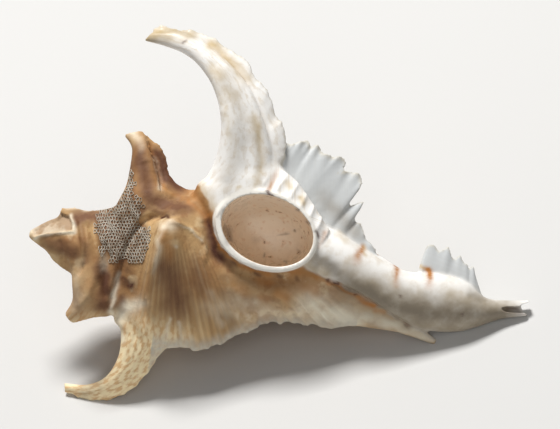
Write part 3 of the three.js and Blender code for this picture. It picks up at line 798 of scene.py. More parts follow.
FOLDS = (
    # Keel
    Fold(((17.9, 1.7), (17.6, -0.3), (16.9, -2.7), (16.2, -4.9), (15.9, -7.3), (15.9, -9.4)),
         0.6, 0.75, -0.35),
    Fold(((18.5, 1.7), (19.9, 1.4), (21.2, 0.7), (22.4, -0.3), (23.0, -1.2), (23.1, -2.3), (22.9, -3.9)),
         0.22, 0.3),
    # Suture
    Fold(((20.5, 2.9), (19.2, 2.7), (17.9, 2.5), (16.5, 2.4), (15.1, 1.7), (13.7, 0.3), (12.6, -2.1),
          (11.8, -5.2), (11.1, -7.9), (10.5, -10.5)), -0.55, 0.45),
    # Valley beside the rim
    Fold(((20.9, 4.9), (22.0, 3.9), (22.9, 2.6), (23.4, 0.8), (23.7, -1.2), (24.4, -2.9), (25.7, -3.9),
          (27.6, -4.8), (30.4, -5.7), (33.4, -6.1), (36.0, -5.9)), -0.5, 0.8),
    # Where the canal leaves the base
    Fold(((38.2, -5.6), (39.3, -6.1), (40.7, -6.9), (42.5, -7.8), (44.6, -9.1), (46.3, -10.3),
          (48.1, -11.4), (50.3, -12.6)), -0.5, 0.35),
    # Beside the crest
    Fold(((30.4, 6.8), (30.4, 10.3), (30.2, 13.2), (29.4, 16.2), (28.2, 18.9), (26.4, 21.6)), -0.22, 0.6),
    # Hollow of the spine
    Fold(((28.6, 6.6), (28.6, 10.3), (28.2, 13.9), (27.4, 17.2), (25.6, 20.6), (22.9, 23.4)), -0.34, 1.3),
    Fold(((26.0, 6.4), (25.6, 10.3), (25.9, 13.9), (25.2, 17.0)), 0.14, 0.7),
    Fold(((15.5, 12.4), (16.3, 10.9), (16.9, 9.3), (17.4, 7.6), (17.6, 5.9), (18.6, 5.0), (20.6, 4.6)),
         -0.6, 0.32),
    Fold(((15.0, 9.6), (15.6, 7.6), (15.9, 5.6)), -0.2, 0.6),
    Fold(((21.4, 4.6), (22.4, 3.2), (23.0, 1.6)), 0.2, 0.5),
    Fold(((6.0, 2.0), (6.2, 0.4), (6.5, -1.4), (6.6, -3.1), (6.5, -4.9)), -0.45, 0.4),
    Fold(((10.9, -3.6), (11.0, -1.6), (10.6, 0.4), (9.9, 2.4)), -0.3, 0.5),
    Fold(((8.5, 2.7), (8.7, -0.1), (9.0, -2.7), (8.7, -5.3), (7.8, -7.9), (6.5, -10.1)), 0.45, 0.6),
    Fold(((7.3, 2.1), (7.7, -0.8), (7.4, -3.6), (6.2, -5.5)), -0.42, 0.45),
    Fold(((9.9, -0.5), (10.3, -3.6), (10.0, -6.6), (10.4, -8.8)), -0.45, 0.6),
    Fold(((4.0, -0.6), (4.3, -2.2), (4.4, -3.4)), -0.2, 0.3),
    Fold(((5.1, -0.3), (5.5, -2.2), (5.7, -4.2)), 0.2, 0.35),
    # The window's frame
    Fold(((0.7, -0.35), (2.2, 0.0), (4.2, 0.2), (5.9, 0.4), (6.0, 1.4), (5.5, 2.1)), 0.30, 0.20),
)


class Layer(Enum):
    """What a stroke of colour is."""

    STAIN = "stain"
    DARK = "dark"
    BROWN = "brown"
    PALE = "pale"
    YELLOW = "yellow"
    # Painted shade: grey-brown darkening laid where the surface lies in shade
    PAINTED_SHADE = "shade"


@dataclass(frozen=True)
class Stroke:
    """A soft mark along a line of the front view."""

    layer: Layer
    path: tuple[tuple[float, float], ...]
    width: float
    strength: float
    fade: float = 0.0  # how much of its strength it loses towards its end

    def cover(self, places: Points) -> Points:
        """Return how much it covers at places of the front view, from 0 to 1."""
        distance, _, share = away_from(self.path, places)
        return self.strength * (1 - self.fade * share) * hump(distance / self.width)


STROKES = (
    Stroke(Layer.STAIN, ((43.4, -1.9), (42.6, -3.8)), 0.46, 1.10, 0.75),  # bands of the canal
    Stroke(Layer.STAIN, ((47.9, -4.3), (47.9, -6.6)), 0.40, 1.10, 0.75),
    Stroke(Layer.STAIN, ((51.9, -4.6), (52.5, -5.7), (52.2, -7.0)), 0.42, 1.20, 0.75),
    Stroke(Layer.YELLOW, ((51.2, -4.1), (51.8, -4.5)), 0.30, 0.80),
    Stroke(Layer.STAIN, ((38.5, 0.3), (37.8, -1.6)), 0.36, 0.50, 0.5),  # where the lip meets the canal
    Stroke(Layer.STAIN, ((31.4, 5.9), (32.3, 8.2)), 0.30, 0.80, 0.8),
    Stroke(Layer.STAIN, ((38.9, -6.0), (41.2, -7.3), (42.9, -8.1)), 0.22, 0.70),  # the line of the fold
    Stroke(Layer.STAIN, ((42.8, -8.2), (43.9, -8.8), (45.0, -9.4)), 0.36, 0.80),
    Stroke(Layer.STAIN, ((45.1, -10.0), (46.3, -10.3)), 0.24, 0.50),
    # Groove of the old spine
    Stroke(Layer.STAIN, ((15.6, 11.7), (16.8, 9.5), (17.3, 6.8), (18.0, 5.6), (20.5, 4.7)), 0.26, 0.35),
    # Beside the enamel
    Stroke(Layer.STAIN, ((20.9, 4.5), (22.0, 3.6), (22.9, 2.6), (23.3, 1.3)), 0.45, 0.55),
    Stroke(Layer.STAIN, ((27.0, -6.9), (28.1, -7.2)), 0.80, 0.40),  # patches below the mouth
    Stroke(Layer.STAIN, ((30.4, -6.1), (31.5, -6.2)), 0.80, 0.55),
    Stroke(Layer.STAIN, ((32.5, -7.7), (33.5, -8.1)), 0.80, 0.55),
    Stroke(Layer.STAIN, ((30.2, -8.3), (31.2, -8.5)), 0.60, 0.45),
    Stroke(Layer.STAIN, ((35.9, -6.8), (37.4, -7.4)), 0.70, 0.40),
    Stroke(Layer.STAIN, ((24.2, 1.0), (24.6, 2.0), (25.0, 2.7)), 0.16, 0.60),  # outer edge of the rim
    Stroke(Layer.STAIN, ((24.1, 1.0), (24.3, -0.2), (25.0, -1.6), (25.9, -2.7), (27.5, -4.0), (29.3, -4.8),
            (31.5, -5.1)), 0.26, 0.80),
    # Between the notch and the rim
    Stroke(Layer.STAIN, ((21.2, 5.9), (22.0, 4.6), (23.0, 3.4), (23.9, 2.2)), 0.80, 0.55),
    Stroke(Layer.STAIN, ((34.0, -4.9), (35.8, -4.8), (37.4, -5.6)), 0.40, 0.60),
    Stroke(Layer.STAIN, ((17.8, 0.2), (18.0, -1.4), (18.5, -2.8)), 0.80, 0.40),  # face of the knob
    Stroke(Layer.STAIN, ((19.8, -0.2), (20.7, -1.6)), 0.60, 0.30),
    Stroke(Layer.DARK, ((31.2, 5.5), (31.7, 5.2)), 0.26, 1.00),  # corner of the mouth
    Stroke(Layer.DARK, ((29.5, -5.1), (30.4, -5.3)), 0.26, 0.60),  # spots under the rim
    Stroke(Layer.DARK, ((32.4, -5.3), (32.9, -5.6)), 0.30, 0.70),
    Stroke(Layer.DARK, ((34.9, -5.4), (35.1, -5.9)), 0.26, 0.55),
    Stroke(Layer.DARK, ((26.5, -3.7), (27.2, -4.1)), 0.24, 0.55),
    Stroke(Layer.DARK, ((23.5, 1.6), (23.8, -0.2), (24.3, -1.7), (25.0, -2.9)), 0.50, 0.90),  # valley beside the rim: dark brown, deepened by painted shadow
    Stroke(Layer.DARK, ((33.2, 0.3), (33.4, 0.2)), 0.14, 0.60),  # flecks in the mouth
    Stroke(Layer.DARK, ((34.5, 0.6), (34.7, 0.4)), 0.16, 0.70),
    Stroke(Layer.DARK, ((30.7, -2.7), (30.7, -2.9)), 0.16, 0.60),
    Stroke(Layer.DARK, ((35.1, -2.0), (35.4, -2.4)), 0.16, 0.35),
    Stroke(Layer.DARK, ((33.4, -3.6), (33.7, -3.6)), 0.14, 0.50),
    Stroke(Layer.DARK, ((29.4, -0.6), (29.6, -0.9)), 0.40, 0.18),
    Stroke(Layer.DARK, ((9.9, -5.2), (10.1, -7.6)), 0.70, 0.60),  # beside the low horn
    Stroke(Layer.DARK, ((16.9, 10.2), (17.9, 7.6), (19.8, 6.2)), 0.80, 0.55),  # crest of the old spine
    Stroke(Layer.DARK, ((14.6, 9.6), (15.3, 7.4), (15.6, 5.0)), 0.90, 0.25),
    Stroke(Layer.DARK, ((3.6, -1.2), (5.4, -1.9)), 0.80, 0.25),
    Stroke(Layer.DARK, ((10.9, 0.9), (12.0, -0.6)), 1.20, 0.30),  # painted shadow under the crust
    Stroke(Layer.DARK, ((17.6, 2.3), (18.3, 2.2)), 0.26, 0.90),  # pits of the suture
    Stroke(Layer.DARK, ((16.1, 2.2), (16.8, 2.2)), 0.24, 0.70),
    Stroke(Layer.DARK, ((35.0, 3.2), (35.2, 3.1)), 0.22, 0.90),  # specks of the lip
    Stroke(Layer.DARK, ((36.3, 1.7), (36.5, 1.5)), 0.22, 0.80),
    Stroke(Layer.DARK, ((37.5, 0.2), (37.7, -0.2)), 0.22, 0.80),
    Stroke(Layer.DARK, ((24.6, 2.3), (25.2, 3.3)), 0.20, 0.45),
    Stroke(Layer.DARK, ((38.8, -5.9), (39.0, -5.9)), 0.14, 0.90),  # specks of the fold
    Stroke(Layer.DARK, ((39.7, -6.3), (40.1, -6.5)), 0.12, 0.80),
    Stroke(Layer.DARK, ((42.5, -7.9), (42.7, -7.9)), 0.11, 0.70),
    Stroke(Layer.DARK, ((48.3, -8.1), (48.4, -8.1)), 0.10, 0.80),
    Stroke(Layer.DARK, ((56.7, -10.3), (56.7, -10.6)), 0.14, 0.70),
    Stroke(Layer.DARK, ((62.4, -9.8), (63.8, -10.1)), 0.34, 0.45),  # the pit at the canal's end
    Stroke(Layer.DARK, ((12.5, -6.1), (13.3, -6.6)), 0.70, 0.90),  # patches of the shoulder
    Stroke(Layer.DARK, ((11.6, -9.2), (12.4, -9.9)), 0.50, 0.45),
    Stroke(Layer.DARK, ((12.9, -4.6), (13.7, -5.0)), 0.40, 0.35),
    Stroke(Layer.DARK, ((20.1, 24.9), (20.5, 25.1)), 0.17, 0.70),  # speck near the tip of the lip spine
    Stroke(Layer.DARK, ((25.8, 0.7), (26.2, -0.8)), 0.50, 0.60),  # painted shade low in the mouth
    Stroke(Layer.BROWN, ((18.1, -4.4), (19.0, -6.6), (19.2, -8.9)), 2.20, 0.85),  # the dark band of the whorl
    Stroke(Layer.BROWN, ((21.6, -4.4), (22.2, -6.8)), 1.40, 0.55),
    Stroke(Layer.BROWN, ((10.7, 1.6), (11.7, -0.8), (12.1, -3.6)), 1.40, 0.90),  # brown round the crust, deepened by painted shadow
    Stroke(Layer.BROWN, ((2.6, -1.0), (4.6, -1.6), (6.0, -2.4)), 1.00, 0.85),  # lower side of the spire
    Stroke(Layer.BROWN, ((6.6, 1.9), (8.2, 2.5), (10.4, 2.6)), 1.20, 1.00),
    Stroke(Layer.BROWN, ((16.6, 4.2), (18.6, 3.8), (20.6, 3.4)), 1.40, 0.95),  # shoulder
    Stroke(Layer.BROWN, ((25.8, -7.6), (28.6, -8.6), (31.4, -8.4)), 1.20, 0.35),
    Stroke(Layer.BROWN, ((9.4, -4.4), (10.0, -6.6), (9.9, -9.4)), 1.10, 1.10),  # beside the low horn
    Stroke(Layer.BROWN, ((14.4, 10.4), (15.3, 7.4), (15.7, 4.4)), 1.10, 0.90),  # shaft of the old spine
    Stroke(Layer.BROWN, ((16.9, 10.4), (17.9, 7.6), (20.0, 6.1)), 1.00, 1.15),
    # Brown of the valley beside the rim, deepened by painted shadow
    Stroke(Layer.BROWN, ((23.3, 2.6), (23.7, 0.6), (24.1, -1.4), (25.0, -2.9), (26.3, -4.1)), 0.90, 0.85),
    # Brown below the crust, deepened by painted shadow
    Stroke(Layer.BROWN, ((11.8, -3.6), (11.4, -6.0), (11.1, -8.6)), 0.80, 0.70),
    Stroke(Layer.BROWN, ((6.8, 1.0), (7.3, -1.4), (7.5, -3.6)), 0.80, 0.60),  # spire
    Stroke(Layer.BROWN, ((14.6, 2.6), (15.6, 3.6), (17.2, 2.9), (19.0, 2.9)), 0.60, 0.75),  # above the suture: brown, with painted shadow in the valley by the crust
    Stroke(Layer.BROWN, ((12.0, -8.3), (12.7, -9.1)), 0.70, 0.80),
    Stroke(Layer.BROWN, ((26.0, -5.3), (28.9, -6.4), (32.1, -6.8)), 1.10, 0.50),
    Stroke(Layer.PALE, ((17.7, 1.0), (18.4, 1.2), (19.0, 0.9)), 0.60, 0.85),  # top of the knob: its paler colour, brightened as a painted highlight
    # Crest of the keel: its paler colour, brightened as a painted highlight
    Stroke(Layer.PALE, ((17.8, 1.0), (17.2, -0.8), (16.8, -2.9), (16.2, -4.9)), 0.34, 0.60, 0.7),
    Stroke(Layer.PALE, ((19.1, -1.6), (19.3, -1.6)), 0.22, 0.45),
    Stroke(Layer.PALE, ((11.4, -11.2), (13.0, -9.7), (14.4, -9.0)), 0.90, 0.70),
    Stroke(Layer.PALE, ((10.8, -10.1), (11.4, -11.7), (12.1, -13.5)), 0.50, 0.90),
    Stroke(Layer.PALE, ((11.8, -5.2), (11.1, -7.9), (10.7, -10.1)), 0.32, 0.60),  # edge of the suture
    Stroke(Layer.PALE, ((23.9, -7.5), (24.7, -10.9)), 0.60, 0.25),
    Stroke(Layer.PALE, ((26.5, -10.1), (28.3, -11.4)), 0.70, 0.25),
    Stroke(Layer.PALE, ((36.4, -9.3), (39.3, -10.4), (42.1, -11.2)), 1.90, 1.00),  # flange right of the mouth
    Stroke(Layer.PALE, ((43.6, -10.7), (47.6, -11.9), (52.4, -13.4)), 1.00, 0.85),
    Stroke(Layer.PALE, ((24.0, -9.6), (27.4, -8.9), (31.0, -9.7), (34.4, -10.7)), 1.30, 0.35),
    Stroke(Layer.PALE, ((13.4, 13.2), (14.2, 12.4), (14.6, 11.2)), 0.60, 0.60, 0.6),  # tip of the old spine
    Stroke(Layer.PALE, ((6.2, -5.6), (6.4, -7.8), (5.6, -9.8)), 0.55, 0.20),  # low horn
    # Painted shade on the low horn
    Stroke(Layer.PAINTED_SHADE, ((6.6, -4.6), (7.0, -8.8)), 1.30, 0.50),
    Stroke(Layer.PALE, ((18.9, 1.6), (20.4, 1.0), (21.9, 0.1), (22.6, -0.7)), 0.16, 0.40),  # edge of the scar
    Stroke(Layer.PALE, ((27.5, -9.3), (28.6, -10.9)), 0.50, 0.35),  # ribs of the low flange
    Stroke(Layer.PALE, ((29.1, -9.0), (30.2, -10.5)), 0.50, 0.35),
    Stroke(Layer.PALE, ((24.0, -9.4), (25.2, -11.8)), 0.45, 0.35),
    Stroke(Layer.PALE, ((18.4, -11.0), (18.2, -13.2)), 0.24, 0.50),
    Stroke(Layer.PALE, ((19.8, -11.2), (19.9, -13.2)), 0.24, 0.40),
    # Painted shade in the hollows of the low flange
    Stroke(Layer.PAINTED_SHADE, ((25.8, -10.6), (26.6, -12.0)), 0.80, 0.60),
    Stroke(Layer.PAINTED_SHADE, ((34.0, -8.0), (34.4, -9.4)), 0.60, 0.25),
    Stroke(Layer.PALE, ((16.4, 9.9), (17.2, 7.8), (17.0, 5.8)), 0.20, 0.45),
    # Window's frame
    Stroke(Layer.PALE, ((0.6, -0.45), (2.2, -0.05), (4.2, 0.15), (5.9, 0.35), (6.05, 1.4), (5.5, 2.2)),
           0.24, 0.65),
    Stroke(Layer.PALE, ((0.4, 1.6), (0.3, 0.4)), 0.50, 0.60),
    Stroke(Layer.PALE, ((5.0, 3.4), (7.4, 3.3), (10.4, 3.5)), 0.26, 0.55),  # edge of the spire's flange
    Stroke(Layer.PALE, ((9.7, -2.7), (9.9, -4.5)), 0.50, 0.35),
    # Under the canal and at its end: painted shade
    Stroke(Layer.PAINTED_SHADE, ((41.9, -7.1), (47.1, -9.2), (52.3, -10.3), (57.5, -10.6), (61.4, -10.8)),
           2.80, 1.00),
    Stroke(Layer.PAINTED_SHADE, ((57.4, -8.0), (60.6, -8.9)), 0.90, 0.70),
    Stroke(Layer.PAINTED_SHADE, ((16.2, 25.4), (19.0, 26.2), (21.5, 26.0)), 1.10, 0.34),  # tip of the lip spine
    # painted shade at the tip of the lip spine
    Stroke(Layer.PAINTED_SHADE, ((26.2, 5.6), (26.4, 8.4), (27.6, 12.6), (27.4, 16.4), (25.6, 20.2)), 1.20, 0.34),
    # Painted shade on the lower part of the wing
    Stroke(Layer.PAINTED_SHADE, ((38.4, 4.6), (40.4, 2.5), (42.6, 0.3)), 1.20, 0.45),
    Stroke(Layer.PAINTED_SHADE, ((9.0, -19.2), (7.2, -20.6)), 0.90, 0.80),  # painted shade at the tip of the low spine
    Stroke(Layer.PAINTED_SHADE, ((37.4, -3.0), (40.2, -4.9)), 1.20, 0.70),  # painted shade between the rim and the canal
    # Yellow tint there, partly its colour and partly painted shade
    Stroke(Layer.YELLOW, ((36.4, -3.8), (38.8, -5.2)), 0.80, 0.80),
    Stroke(Layer.YELLOW, ((22.3, 6.5), (23.2, 4.9), (24.0, 3.4)), 0.80, 0.70),
    # Tip of the lip spine
    Stroke(Layer.YELLOW, ((15.6, 25.5), (17.4, 26.3), (19.2, 26.4), (21.1, 26.3)), 1.20, 0.90),
    Stroke(Layer.YELLOW, ((23.9, 24.7), (26.2, 22.7), (28.3, 20.4)), 0.75, 0.95, 0.3),
    Stroke(Layer.YELLOW, ((23.9, 21.6), (25.0, 20.5)), 0.90, 0.50),
    Stroke(Layer.YELLOW, ((25.7, 18.7), (26.8, 17.7)), 0.80, 0.40),
    Stroke(Layer.YELLOW, ((29.6, 15.2), (30.1, 12.4), (30.2, 9.4), (29.8, 6.6)), 0.60, 0.60),
    Stroke(Layer.YELLOW, ((24.2, 19.4), (25.6, 16.4), (26.4, 12.4)), 0.60, 0.30),
    Stroke(Layer.YELLOW, ((33.7, 6.6), (34.2, 6.0)), 0.40, 0.70),  # between the knobs of the lip
    Stroke(Layer.YELLOW, ((35.2, 4.7), (35.8, 4.0)), 0.40, 0.70),
    Stroke(Layer.YELLOW, ((27.3, 5.9), (27.7, 6.1)), 0.25, 0.70),
    # Under side of the canal: a yellow tint, partly its colour and partly painted shade
    Stroke(Layer.YELLOW, ((42.4, -6.8), (48.4, -9.9), (53.6, -11.6), (58.8, -11.6)), 2.00, 0.75),
    Stroke(Layer.YELLOW, ((55.1, -8.6), (58.8, -9.6), (61.4, -10.0)), 1.40, 0.50),
    Stroke(Layer.YELLOW, ((43.9, -2.6), (43.7, -1.7)), 0.30, 0.80),
    Stroke(Layer.YELLOW, ((40.3, 0.3), (41.3, -0.8)), 0.35, 0.50),
)

# The edge of the white enamel in the front view, from the notch between the two upper spines round the mouth
ENAMEL = (
    (21.6, 7.4), (22.6, 5.6), (23.4, 4.1), (24.1, 2.9), (24.3, 1.4), (24.5, 0.0), (25.1, -1.3),
    (26.1, -2.5), (27.6, -3.7), (29.3, -4.5), (31.5, -4.8), (34.1, -4.5), (35.8, -4.1), (38.2, -5.6),
    (40.7, -6.9), (44.6, -9.1), (48.1, -11.2), (52.8, -13.8), (72.0, -13.0), (72.0, 40.0), (8.0, 40.0),
    (14.0, 20.0),
)


@dataclass
class ShellForm:
    """The whole shell as one mesh in the growth frame, with masks that its materials read."""

    mouth: Mouth = field(default_factory=Mouth)
    canal: Canal = field(default_factory=Canal)
    whorls: Whorls = field(default_factory=Whorls)
    threads: Threads = Threads()
    thread_depth: float = 0.035
    thread_pitch: float = 0.8
    flute_depth: float = 0.16
    flute_pitch: float = 1.7
    window_depth: float = 0.5
    fuse_voxel: float = 0.2
    fillet_rounds: int = 60
    most_triangles: int = 196000

    def lofts(self) -> list[Loft]:
        """Return every form that is added, in the growth frame."""
        blades = [blade.loft() for blade in BLADES]
        return [self.whorls.loft(), self.canal.loft(), *blades, self.mouth.rim_loft()]

    def build(self) -> bpy.types.Object:
        """Fuse the forms, lay the relief on them and cut the hollows.

        Returns:
            The shell, still in the growth frame.
        """
        bm = bmesh.new()
        for loft in self.lofts():
            loft.mesh(bm)
        bmesh.ops.recalc_face_normals(bm, faces=bm.faces)
        shell = new_object("shell_surface", bm)
        remesh(shell, self.fuse_voxel)
        self.fillet(shell)
        self.carve(shell)
        self.cut(shell, self.mouth.hollow_loft(), self.canal.bore_loft())
        self.cut(shell, self.canal.notch_loft())
        self.lighten(shell)
        return shell

    def cut(self, shell: bpy.types.Object, *lofts: Loft) -> None:
        """Cut forms out of the shell.

        Args:
            shell: The shell, whose mesh is changed.
            lofts: What is cut out; these forms don't touch one another.
        """
        bm = bmesh.new()
        for loft in lofts:
            loft.mesh(bm)
        bmesh.ops.recalc_face_normals(bm, faces=bm.faces)
        cutter = new_object("cutter", bm)
        modifier = shell.modifiers.new("cut", "BOOLEAN")
        modifier.operation, modifier.solver, modifier.object = "DIFFERENCE", "EXACT", cutter
        apply_modifiers(shell)
        bpy.data.objects.remove(cutter)

    def lighten(self, shell: bpy.types.Object) -> None:
        """Bring the mesh under its limit of triangles.

        Args:
            shell: The shell, whose mesh is changed.
        """
        triangles = sum(polygon.loop_total - 2 for polygon in shell.data.polygons)
        thin = shell.modifiers.new("thin", "DECIMATE")
        thin.ratio = min(1.0, self.most_triangles / triangles)
        thin.use_collapse_triangulate = True
        apply_modifiers(shell)

    def fillet(self, shell: bpy.types.Object) -> None:
        """Round the creases where forms meet, so that they look grown together.

        Args:
            shell: The fused shell, whose mesh is changed.
        """
        points = coordinates(shell)
        edges = edge_pairs(shell)
        count = np.bincount(edges.ravel(), minlength=len(points))[:, None]
        places = front_view(points)
        soft = self.softness(points, places)
        normals = vertex_normals(shell)
        for _ in range(self.fillet_rounds):
            mean = neighbour_sum(points, edges) / count
            move = mean - points
            rise = np.einsum("ij,ij->i", move, normals)
            points = points + move * (soft * np.where(rise > 0, 0.8, 0.12))[:, None]
        set_coordinates(shell, points)

    def softness(self, points: Points, places: Points) -> Points:
        """Tell how much the surface is rounded.

        Args:
            points: The places.
            places: The same in the front view.

        Returns:
            One value for each point, from 0 to 1.
        """
        soft = np.ones(len(points))
        right, up = places[:, 0], places[:, 1]
        frill = ease((right - 33.0) / 2) * ease((up + 1.0 + 0.55 * (right - 40)) / 1.5)
        soft *= 1 - 0.97 * frill * (points[:, 2] > -3)
        rim = np.hypot((points[:, 0] - self.mouth.x) / 8.2, (points[:, 1] - self.mouth.y) / 6.4)
        soft *= ease((rim - 1.0) / 0.25)
        soft *= 1 - ease((points[:, 0] - 49.5) / 1.0)
        soft *= 1 - 0.88 * ease((up - 8.0) / 3) * ease((right - 22.0) / 1.0)
        reach = np.abs(points[:, 1])
        soft *= 1 - 0.9 * ease((reach - 8.0) / 1.4) * ease((18.0 - points[:, 0]) / 1.0)
        soft *= 1 - 0.9 * ease((points[:, 1] - 3.3) / 0.5) * ease((7.0 - points[:, 0]) / 1.0)
        return soft

    def carve(self, shell: bpy.types.Object) -> None:
        """Lay the folds, the broken window and the fine relief on the surface.

        Args:
            shell: The shell, whose mesh is changed.
        """
        points = coordinates(shell)
        normals = vertex_normals(shell)
        places = front_view(points)
        facing = ease((normals[:, 2] + 0.05) / 0.35)
        rise = np.zeros(len(points))
        for fold in FOLDS:
            rise += fold.rise(places) * facing
        across, _ = self.threads.across(places)
        right, up = places[:, 0], places[:, 1]
        tan = ease((-front_gap(ENAMEL, places) - 0.2) / 0.8) * facing
        tan *= ease((right - 14) / 2) * ease((28 - right) / 4) * ease(-up / 3)
        threads = np.sin(2 * np.pi * across / self.thread_pitch + wave(points, 2.0, 0.6))
        rise += self.thread_depth * tan * threads
        low = ease((-up - 6.5) / 4) * ease((right - 18.0) / 2) * ease((42 - right) / 3)
        flutes = np.sin(2 * np.pi * across / self.flute_pitch + wave(points, 3.0, 2.2))
        rise += self.flute_depth * low * facing * flutes
        edge, _, _ = away_from(TIP_WINDOW + TIP_WINDOW[:1], places)
        rise -= self.window_depth * inside_of(TIP_WINDOW, places) * ease(edge / 0.25) * facing
        set_coordinates(shell, points + normals * rise[:, None])


# The edge of the crust in the front view
CRUST_OUTLINE = (
    (8.7, 1.2), (9.0, 2.9), (9.9, 3.6), (10.9, 4.0), (11.7, 4.5), (12.5, 4.9), (12.9, 6.4), (13.1, 8.1),
    (13.4, 9.5), (13.8, 8.1), (13.8, 6.0), (14.0, 4.7), (15.0, 4.0), (15.2, 3.4), (14.6, 2.3), (14.0, 1.6),
    (15.5, 1.2), (15.7, 0.0), (15.5, -1.8), (15.0, -3.6), (13.3, -3.6), (11.8, -3.1), (10.9, -3.8),
    (10.7, -2.3), (9.6, -2.3), (9.1, -0.8),
)


@dataclass
class Masks:
    """Where each colour lies: values of the shell's vertices that its material reads."""

    form: ShellForm
    stray: float = 0.22  # how far the strokes of colour wander, in mm

    def dress(self, shell: bpy.types.Object) -> None:
        """Write the values on the shell.

        Args:
            shell: The shell, still in the growth frame.
        """
        points, normals = coordinates(shell), vertex_normals(shell)
        edges, places = edge_pairs(shell), front_view(points)
        regions, width = self.nearest(points)
        root = self.among(regions, Region.LIP_WING, Region.LIP_SPINE) & (width < 0.15)
        body = self.among(regions, Region.BODY, Region.LIP_RIDGE) | root
        reach = np.hypot(points[:, 1], points[:, 2])
        dorsal = body & (points[:, 1] > 4) & (points[:, 2] < 2.4) & (reach < 9.4)
        facing = ease((normals[:, 2] + 0.15) / 0.3) * ~dorsal
        strayed = places + self.stray * np.stack([wave(points, 1.7, 1.7), wave(points, 1.7, 4.1)], axis=1)
        values = self.strokes(strayed, facing)
        values.update(self.mouth(points))
        values["glaze"] = self.glaze(points, normals, regions, dorsal, front_gap(ENAMEL, strayed), edges)
        frill = self.among(regions, Region.LIP_WING, Region.CANAL_FIN, Region.BACK_WING)
        values["frill"] = self.soften(frill, edges, 4)
        values["ridge"] = self.soften(self.among(regions, Region.LIP_RIDGE), edges, 4)
        drop = -places[:, 1] - 8.3 - 0.2 * np.maximum(places[:, 0] - 14, 0)
        values["spine"] = ease(drop / 6) * ease((24 - places[:, 0]) / 6)
        values["old"] = self.soften(self.among(regions, Region.OLD_SPINE, Region.EARLY_FLANGE), edges, 10)
        edge, _, _ = away_from(TIP_WINDOW + TIP_WINDOW[:1], places)
        values["window"] = inside_of(TIP_WINDOW, places) * ease(edge / 0.2) * facing
        values["margin"] = self.margin(points, regions, width)
        values["thread"], values["along"] = self.threads(points, places, regions, width)
        values["fan"] = self.fan(places, values["spine"])
        values["crust"] = self.soften(inside_of(CRUST_OUTLINE, places) * facing, edges, 3)
        mean = neighbour_sum(points, edges) / np.bincount(edges.ravel(), minlength=len(points))[:, None]
        values["cavity"] = self.soften(np.einsum("ij,ij->i", mean - points, normals) * 20, edges, 3)
        for name, value in values.items():
            layer = shell.data.attributes.new(name, "FLOAT", "POINT")
            layer.data.foreach_set("value", value.astype(np.float32))

    def strokes(self, places: Points, facing: Points) -> dict[str, Points]:
        """Lay the strokes of colour on.

        Args:
            places: Places of the front view.
            facing: How much each looks to the front, from 0 to 1.

        Returns:
            How strong each layer is at each place, by the layer's name.
        """
        values = {layer.value: np.zeros(len(places)) for layer in Layer}
        for stroke in STROKES:
            cover = stroke.cover(places) * facing
            values[stroke.layer.value] = np.maximum(values[stroke.layer.value], cover)
        return values

    def round_mouth(self, points: Points) -> tuple[Points, Points, Points]:
        """Place points round the mouth.

        Args:
            points: The places.

        Returns:
            The angle round its middle, the distance out from there as a share of its size, and the
            distance across it as a share of its half width.
        """
        mouth = self.form.mouth
        turn = math.radians(mouth.turn)
        off = points[:, :2] - (mouth.x, mouth.y)
        along = off[:, 0] * math.cos(turn) + off[:, 1] * math.sin(turn)
        across = -off[:, 0] * math.sin(turn) + off[:, 1] * math.cos(turn)
        share = np.hypot(along / mouth.long, across / mouth.short)
        return np.arctan2(across / mouth.short, along / mouth.long), share, across / mouth.short

    def mouth(self, points: Points) -> dict[str, Points]:
        """Find the inside of the mouth and its rim.

        Args:
            points: The places.

        Returns:
            The values mouth, mouth_low and rim, by name.
        """
        mouth = self.form.mouth
        angle, share, across = self.round_mouth(points)
        top = mouth.top - mouth.drop(angle)
        wall = mouth.wall(angle)
        gap = (share - 1) * (mouth.long + mouth.short) / 2
        return {
            "mouth": self.hollow(points, share < 1.1) * ease((top - 0.1 - points[:, 2]) / 0.35),
            "mouth_low": ease(0.42 - 0.6 * across + 0.12 * wave(points, 2.0, 3.3)),
            "rim": ease((gap + 0.05) / 0.1) * ease((wall * 1.15 - gap) / 0.15) * (points[:, 2] > top - 1.2),
        }

    def glaze(self, points: Points, normals: Points, regions: np.ndarray, dorsal: np.ndarray, inside: Points,
              edges: np.ndarray) -> Points:
        """Find where the white enamel lies.

        Args:
            points: The places.
            normals: Which way the surface looks there.
            regions: The numbers of the forms they lie on.
            dorsal: Which of them lie on the tan back of the whorl.
            inside: How far each lies inside the enamel's edge in the front view.
            edges: The pairs of vertices that share an edge.

        Returns:
            Above 0 on the enamel and below 0 on the tan.
        """
        behind = ease((-normals[:, 2] - 0.1) / 0.2) * self.among(regions, Region.BODY)
        white = self.among(regions, Region.LIP_SPINE, Region.LIP_CREST, Region.LIP_WING, Region.LIP_RIDGE,
                           Region.CANAL, Region.CANAL_FIN, Region.RIM)
        along, high = points[:, 0], points[:, 2]
        reach = np.hypot(points[:, 1], high)
        rooted = white & (along < 44) & (reach < 9.6) & (high < 1.0)
        spine_root = self.among(regions, Region.LIP_SPINE, Region.LIP_CREST, Region.RIM)
        rooted |= spine_root & (along < 32) & (reach < 10.6) & (high < 3.4)
        rooted |= spine_root & (along > 29) & (along < 37) & (reach < 10.9) & (high < 4.4)
        tan = self.soften(((normals[:, 2] < -0.1) & ~(white & ~rooted)) | dorsal, edges, 5)
        signed = np.minimum(inside, (0.5 - tan) * 5)
        return np.clip(signed * (1 - behind) - 2.5 * behind, -2.5, 2.5)

